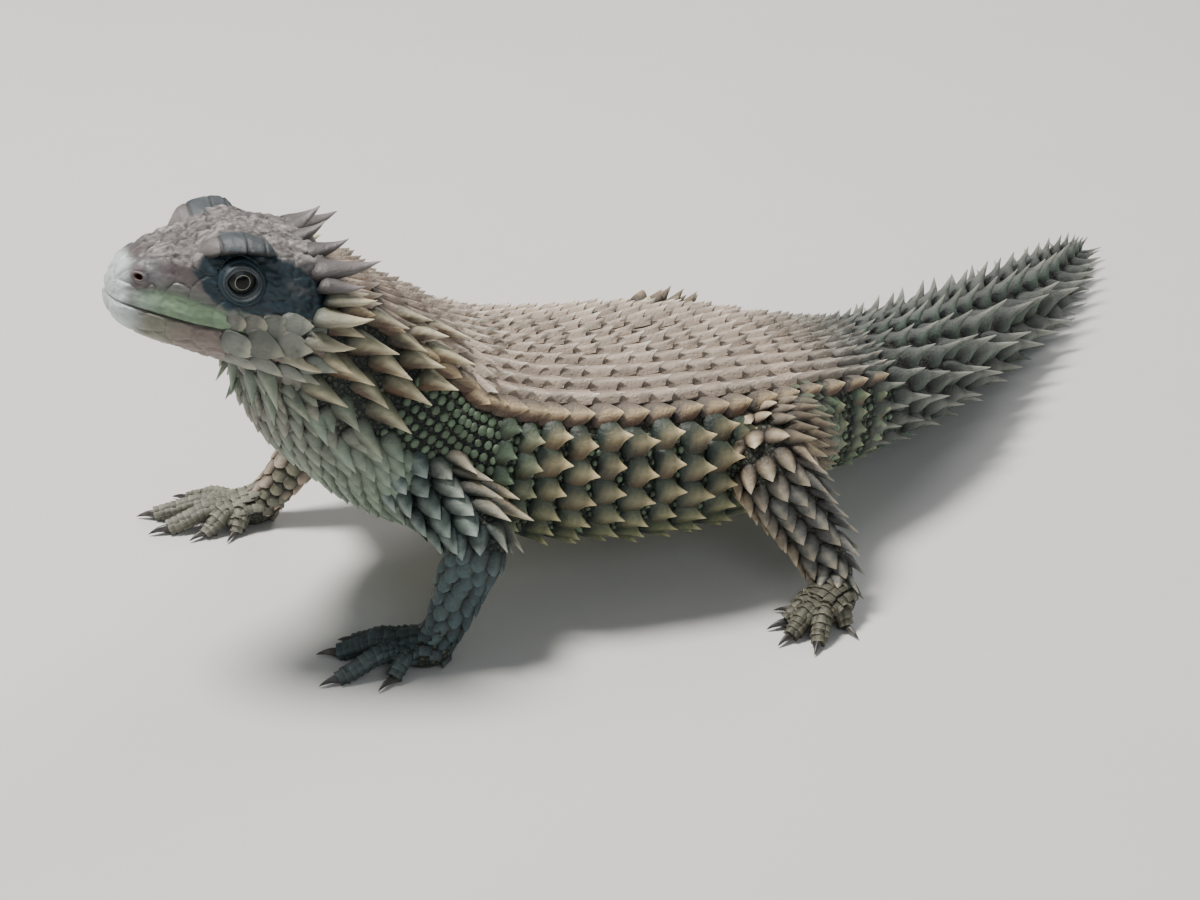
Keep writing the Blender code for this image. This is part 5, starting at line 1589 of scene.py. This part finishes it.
def makeEye(side, name):
    bm = bmesh.new()
    bmesh.ops.create_uvsphere(bm, u_segments=48, v_segments=32, radius=eye["radius"])
    bmesh.ops.rotate(bm, verts=bm.verts, cent=(0, 0, 0), matrix=Matrix.Rotation(math.pi / 2, 3, "X"))
    rings = [math.hypot(vert.co.x, vert.co.z) / eye["iris"] if vert.co.y < 0 else 2.0 for vert in bm.verts]
    turn = skull.turn(-side)
    t, aside, up = eye["middle"]
    middle = Matrix.Translation(Vector(skull.place(t, aside * side, up)))
    bmesh.ops.transform(bm, matrix=middle @ turn, verts=bm.verts)
    for vert in bm.verts:
        vert.co = (vert.co - Vector(footMiddle)) * mm
    if side < 0:
        bmesh.ops.reverse_faces(bm, faces=bm.faces)
    bmesh.ops.recalc_face_normals(bm, faces=bm.faces)
    mesh = bpy.data.meshes.new(name)
    bm.to_mesh(mesh)
    bm.free()
    setReading(mesh, "ring", np.array(rings))
    mesh.shade_smooth()
    made = register(bpy.data.objects.new(name, mesh), "iris")
    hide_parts({1: "left_eye", -1: "right_eye"}[side])


def makeLids(side, name):  # a ring of folded skin from the eyeball out to the shields
    turns, steps = lids["turns"], lids["steps"]
    eyeT, eyeSide, eyeUp = eye["middle"]
    grid, foldWave = np.zeros((steps + 1, turns, 3)), np.zeros((steps + 1, turns))
    for j in range(turns):
        phi = 2 * math.pi * j / turns
        c, s = math.cos(phi), math.sin(phi)
        a, b = eye["opening"]
        corner = abs(c) ** 6 * 0.3
        inner = 1 / math.hypot(c / (a + corner), s / (b if s < 0 else b * 0.93))
        outer = eye["lidOuter"]
        deep = math.sqrt(max((eye["radius"] + eye["lidOver"]) ** 2 - inner**2, 0.01))
        start = np.array((eyeT + c * inner, eyeSide + deep, eyeUp + s * inner))
        wall, _ = castIn(skull.place(eyeT + c * outer, 0, eyeUp + s * outer), skull.left * side)
        wallT, wallSide, wallUp = skull.read(wall)
        end = np.array((wallT, abs(wallSide), wallUp))
        for i in range(steps + 1):
            q = i / steps
            here = start + (end - start) * q
            swell = lids["bulge"] * math.sin(math.pi * min(q * 1.25, 1.0)) + lids["thick"] * ramp(q, 0, 0.12)
            fold = lids["fold"] * math.sin(q * lids["folds"] * 2 * math.pi + 0.6 * s) * ramp(q, 0.1, 0.3)
            here = here + np.array((0, swell + fold, 0))
            grid[i, j] = skull.place(here[0], here[1] * side, here[2])
            foldWave[i, j] = fold / lids["fold"]
    tuck = grid[0] - skull.left * side * 1.2
    grid = np.concatenate([tuck[None], grid])
    foldWave = np.concatenate([np.zeros((1, turns)), foldWave])
    rows = len(grid)
    q = np.linspace(0, 1, rows)[:, None] + 0 * foldWave
    tone = blend(paint["brow"] * 0.75, paint["temple"] * 1.6, ramp(q, 0.15, 0.75))
    # The troughs of the folds are painted dark as shade.
    tone = blend(tone, paint["groove"] * 0.5, ramp(-foldWave, 0.1, 1.0) * 0.6)
    headPiece(name, grid, ringFaces(rows, turns, side), tone, np.full(foldWave.shape, 0.25))


nostril = {
    "turns": 40,
    # rows from the hole's inside out: radius, and rise off the skin
    "rows": ((0.30, -0.4), (0.46, 0.4), (0.54, 1.1), (0.66, 1.46), (0.86, 1.52), (1.10, 1.30), (1.36, 0.95)),
    "long": 1.2,
    "high": 0.9,
}


def makeNostril(side, name):  # a swollen rim round the opening
    turns = nostril["turns"]
    t, _, up = head["nostril"]
    _, out = castIn(skull.place(t, 0, up), skull.left * side)
    out = unit(np.array(out))
    out = out * np.sign(out @ skull.left * side)
    grid = np.zeros((len(nostril["rows"]), turns, 3))
    for i, (radius, rise) in enumerate(nostril["rows"]):
        for j in range(turns):
            phi = 2 * math.pi * j / turns
            aside, above = radius * nostril["long"] * math.cos(phi), radius * nostril["high"] * math.sin(phi)
            wall, _ = castIn(skull.place(t + aside, 0, up + above), skull.left * side)
            grid[i, j] = np.array(wall) + out * rise
    q = np.linspace(0, 1, len(grid))[:, None] + np.zeros((1, turns))
    # The inside of the opening is painted near black, as shade in the hole.
    tone = blend(paint["nostrilDeep"], paint["nostrilRim"], ramp(q, 0.15, 0.42))
    tone = blend(tone, paint["nose"] * 0.9, ramp(q, 0.42, 0.85))
    headPiece(name, grid, ringFaces(len(grid), turns, side), tone, np.full(q.shape, 0.1))


for side, word in ((1, "left"), (-1, "right")):
    makeNostril(side, word + "NostrilRim")
    makeEye(side, word + "Eyeball")
    makeLids(side, word + "Eyelids")

# The head's spines and cheek scales, and the hoods over the eyes.
headSpines = (  # root, then tip, as t, side and up, then width at the root, and a paint
    ((38.8, 2.8, 13.0), (44.2, 4.0, 17.4), 6.4, "crown"),
    ((40.2, 9.4, 12.2), (47.4, 11.4, 16.0), 7.4, "crown"),
    ((41.4, 14.6, 10.0), (53.2, 17.2, 13.4), 8.4, "crown"),
    ((42.0, 18.0, 8.0), (49.4, 20.6, 8.8), 7.0, "crown"),
    ((43.6, 18.8, 5.4), (52.0, 22.2, 6.4), 6.6, "neck"),
    ((41.6, 20.4, 1.6), (50.8, 25.0, 3.2), 8.0, "neck"),
    ((39.6, 20.6, -3.0), (47.6, 25.2, -3.2), 8.0, "neck"),
    ((35.6, 19.6, -6.4), (41.3, 23.6, -9.0), 8.0, "neck"),
)
cheekScales = (  # t, up, length, width, height, how far the point droops, shape
    (23.8, -1.0, 4.6, 3.8, 1.0, 0.10, "boss"),
    (27.4, -1.0, 5.4, 4.6, 1.2, 0.10, "boss"),
    (31.4, -0.8, 6.0, 5.2, 1.4, 0.05, "boss"),
    (35.6, -0.2, 7.0, 5.6, 1.9, 0.00, "leaf"),
    (24.6, -5.6, 8.0, 6.0, 1.2, 0.15, "boss"),
    (29.8, -4.9, 8.8, 6.8, 1.7, 0.16, "leaf"),
    (35.2, -4.2, 8.2, 6.6, 2.1, 0.10, "leaf"),
    (26.4, -10.0, 7.6, 5.6, 1.4, 0.25, "boss"),
    (31.4, -9.6, 8.2, 6.2, 1.9, 0.40, "leaf"),
    (36.4, -10.6, 8.0, 6.0, 2.8, 0.35, "leaf"),
    (41.2, -8.4, 8.2, 6.2, 3.6, 0.30, "thorn"),
    (41.0, -12.8, 7.4, 5.6, 3.0, 0.30, "thorn"),
)
brow = {  # a hood over each eye: its lines as t, side and up, and where its plates meet
    "inner": (
        (15.2, 5.8, 9.0), (18.6, 5.4, 12.0), (22.2, 5.4, 13.8), (25.6, 5.8, 14.3), (29.2, 7.0, 13.8),
        (31.8, 9.4, 12.4),
    ),
    "top": (
        (15.2, 7.8, 11.0), (18.4, 9.2, 13.9), (22.2, 10.0, 15.8), (25.6, 11.0, 16.2), (29.2, 12.4, 15.6),
        (31.8, 14.0, 14.2),
    ),
    "edge": (
        (15.2, 9.6, 9.6), (16.6, 12.0, 10.7), (18.3, 14.2, 12.1), (21.2, 16.1, 13.5), (24.5, 17.3, 14.0),
        (28.1, 17.9, 14.2), (30.6, 17.6, 13.6), (31.8, 17.0, 12.9),
    ),
    "under": (
        (15.2, 8.0, 8.0), (18.6, 11.4, 10.2), (21.4, 13.0, 11.9), (25.0, 13.8, 12.5), (28.2, 14.2, 12.5),
        (31.8, 14.6, 11.8),
    ),
    "reach": (15.4, 31.8),  # t at its ends
    "seams": (20.2, 25.2, 28.8),
    "rounds": 12,  # of smoothing along the hood
    "farShift": 1.6,  # how much further forward the far hood stands
}


def makeHeadSpines():
    coat = Coat()
    for root, tip, width, colour in headSpines:
        for side in (1, -1):
            a = skull.place(root[0], root[1] * side, root[2])
            b = skull.place(tip[0], tip[1] * side, tip[2])
            high = width * 0.62
            out = unit(np.cross(np.cross(b - a, skull.up), b - a))
            along = unit(b - out * 0.74 * high - a)
            out = unit(np.cross(np.cross(along, skull.up), along))
            if colour == "crown":
                tones = (paint["crown"] * 0.35, paint["crown"] * 0.6, paint["crown"] * 1.4)
            else:
                middle = blend(paint["cheek"], paint["neckTip"], 0.3)
                tones = (paint["cheek"] * 0.5, middle, paint["neckTip"] * 0.95)
            reach = np.linalg.norm(b - a) / 0.88
            spot = (0.3 + 0.1 * side, 0.95)
            looks = {"rimShade": 0.2, "tipFrom": 0.4, "line": 0.2}
            coat.stampOne("spine", a, along, out, spot, (reach, width, high), tones, **looks)
    for t, up, long, wide, high, droop, kind in cheekScales:
        for side in (1, -1):
            place, normal = castIn(skull.place(t, 0, up), skull.left * side)
            back = skull.back - skull.up * droop
            base = blend(paint["cheek"], paint["jaw"], luck.uniform(0, 0.5)) * luck.uniform(0.8, 1.1)
            tones = (base * 0.35, base, blend(base * 1.5, paint["neckTip"], 0.25))
            spot = (0.3 + 0.1 * side + 0.001 * t, 0.97 + 0.001 * up)
            looks = {"rimShade": 0.35, "tipFrom": 0.6, "line": 0.1}
            coat.stampOne(kind, place + normal * 0.25, back, normal, spot, (long, wide, high), tones, **looks)
    coat.finish("headSpines", "head_scales", "neck")


def makeBrows():  # a smooth hood of four plates that overhangs each eye
    bm = newBmesh()
    tones = []
    lines = [np.array(brow[name]) for name in ("inner", "top", "edge", "under")]
    stations = np.linspace(*brow["reach"], 90)
    hoops = []
    for t in stations:
        inner, top, edge, under = (
            np.array([t] + [np.interp(t, line[:, 0], line[:, k]) for k in (1, 2)]) for line in lines
        )
        swell = (top + edge) / 2 + np.array((0, 0.9, 0.9))
        low, root = (edge + under) / 2 + (0, 0.2, -0.3), (inner + under) / 2 - (0, 0, 1.2)
        stops = np.array([inner, top, swell, edge, low, under, root])
        hoop = []
        for k in range(len(stops)):
            four = [stops[(k + j - 1) % len(stops)] for j in range(4)]
            hoop += [curveAt(*four, s) for s in np.arange(6) / 6]
        hoops.append(hoop)
    hoops = np.array(hoops)
    for _ in range(brow["rounds"]):
        hoops[1:-1] = (hoops[:-2] + 2 * hoops[1:-1] + hoops[2:]) / 4
    share = (stations - stations[0]) / np.ptp(stations)
    ends = np.sqrt(np.clip(np.minimum(6.0 * share, 7.0 * (1 - share)), 0.0004, 1))
    for side in (1, -1):
        rings = []
        for t, hoop, end in zip(stations, hoops, ends):
            middle = hoop.mean(0)
            seam = max(math.exp(-(((t - k) / 0.30) ** 2)) for k in brow["seams"])
            ring = middle + (hoop - middle) * max(end - 0.12 * seam, 0.02)
            shift = brow["farShift"] * (side < 0)
            rings.append(skull.place(ring[:, 0] - shift, ring[:, 1] * side, ring[:, 2]))
            base = blend(paint["crown"] * 0.9, paint["brow"], ramp(t, 19.4, 21.0))
            base = base * (1 - 0.35 * ramp(t, 24.8, 26.0))
            spots = np.arange(len(ring))
            # The hood's underside is painted dark as shade under its overhang, and its seams dark as shade in
            # the grooves between plates.
            low = ramp(spots, 16.5, 19) * (1 - ramp(spots, 34, 40))
            tone = np.tile(base, (len(ring), 1))
            tone = blend(tone, paint["groove"] * 0.6, np.maximum(low, 0.7 * seam) * 0.9)
            tones.append(tone)
        addTube(bm, rings)
    turn, count = bm.verts.layers.int["turn"], len(tones[0])
    tones = np.array([tones[k // count][vert[turn]] for k, vert in enumerate(bm.verts)])
    points = np.array([vert.co[:] for vert in bm.verts])
    bmesh.ops.recalc_face_normals(bm, faces=bm.faces)
    bm.normal_update()
    normals = np.array([vert.normal[:] for vert in bm.verts])
    moved = points + normals * (grit(points, 10.0, 21) * 0.14)[:, None]
    for vert, place in zip(bm.verts, landed(moved)):
        vert.co = place
    mesh = bpy.data.meshes.new("browPlates")
    bm.to_mesh(mesh)
    bm.free()
    mesh.shade_smooth()
    speckle = np.clip(1 + 0.35 * grit(points, 9.0, 22), 0.4, 1.8)[:, None]
    setTone(mesh, tones * speckle)
    setReading(mesh, "rugose", np.full(len(tones), 0.3))
    register(bpy.data.objects.new("browPlates", mesh), "head")


makeBrows()
makeHeadSpines()
print("head made")


# Floor, lights and camera.
def makeFloor():
    bm = bmesh.new()
    bmesh.ops.create_grid(bm, x_segments=1, y_segments=1, size=6.0)
    mesh = bpy.data.meshes.new("floor")
    bm.to_mesh(mesh)
    bm.free()
    floor = bpy.data.objects.new("floor", mesh)
    bpy.context.scene.collection.objects.link(floor)
    mesh.materials.append(floorFinish())


lights = {  # place and size in metres, power in watts, colour
    "key": ((-0.40, 0.25, 1.20), 0.36, 25.0, (1.0, 0.97, 0.92)),
    "fill": ((-0.2, -1.3, 0.7), 1.0, 3.8, (0.88, 0.95, 1.0)),
    "rim": ((0.9, 0.6, 0.9), 0.7, 5.0, (1.0, 1.0, 1.0)),
}
studio = {"aim": (0, 0, 0.03), "colour": (0.86, 0.88, 0.90), "strength": 0.23}


def makeLight(name, place, size, power, colour):
    lamp = bpy.data.lights.new(name, "AREA")
    lamp.shape, lamp.size, lamp.energy, lamp.color = "DISK", size, power, colour
    made = bpy.data.objects.new(name, lamp)
    made.location = place
    made.rotation_euler = (Vector(studio["aim"]) - Vector(place)).to_track_quat("-Z", "Y").to_euler()
    bpy.context.scene.collection.objects.link(made)


camera = {
    "aim": (-52.1, -32.1, 34.0),
    "turn": -25.0,  # degrees, as the next
    "rise": 27.0,
    "away": 620.0,
    "focal": 4.35 * 620,  # in pixels of the image
    "imageWidth": 1200,
    "sensor": 36.0,
}


def makeCamera():
    view = bpy.data.cameras.new("camera")
    view.sensor_width = camera["sensor"]
    view.lens = camera["focal"] / camera["imageWidth"] * camera["sensor"]
    view.clip_start, view.clip_end = 0.01, 30.0
    turn, rise = math.radians(camera["turn"]), math.radians(camera["rise"])
    way = Vector((math.sin(turn) * math.cos(rise), -math.cos(turn) * math.cos(rise), math.sin(rise)))
    made = bpy.data.objects.new("camera", view)
    aim = Vector(camera["aim"]) * mm
    made.location = aim + way * camera["away"] * mm
    made.rotation_euler = (-way).to_track_quat("-Z", "Y").to_euler()
    bpy.context.scene.collection.objects.link(made)
    bpy.context.scene.camera = made


makeFloor()
for name, settings in lights.items():
    makeLight(name, *settings)
makeCamera()
world = bpy.data.worlds.new("studio")
world.use_nodes = True
background = world.node_tree.nodes["Background"].inputs
background["Color"].default_value = (*studio["colour"], 1.0)
background["Strength"].default_value = studio["strength"]
bpy.context.scene.world = world
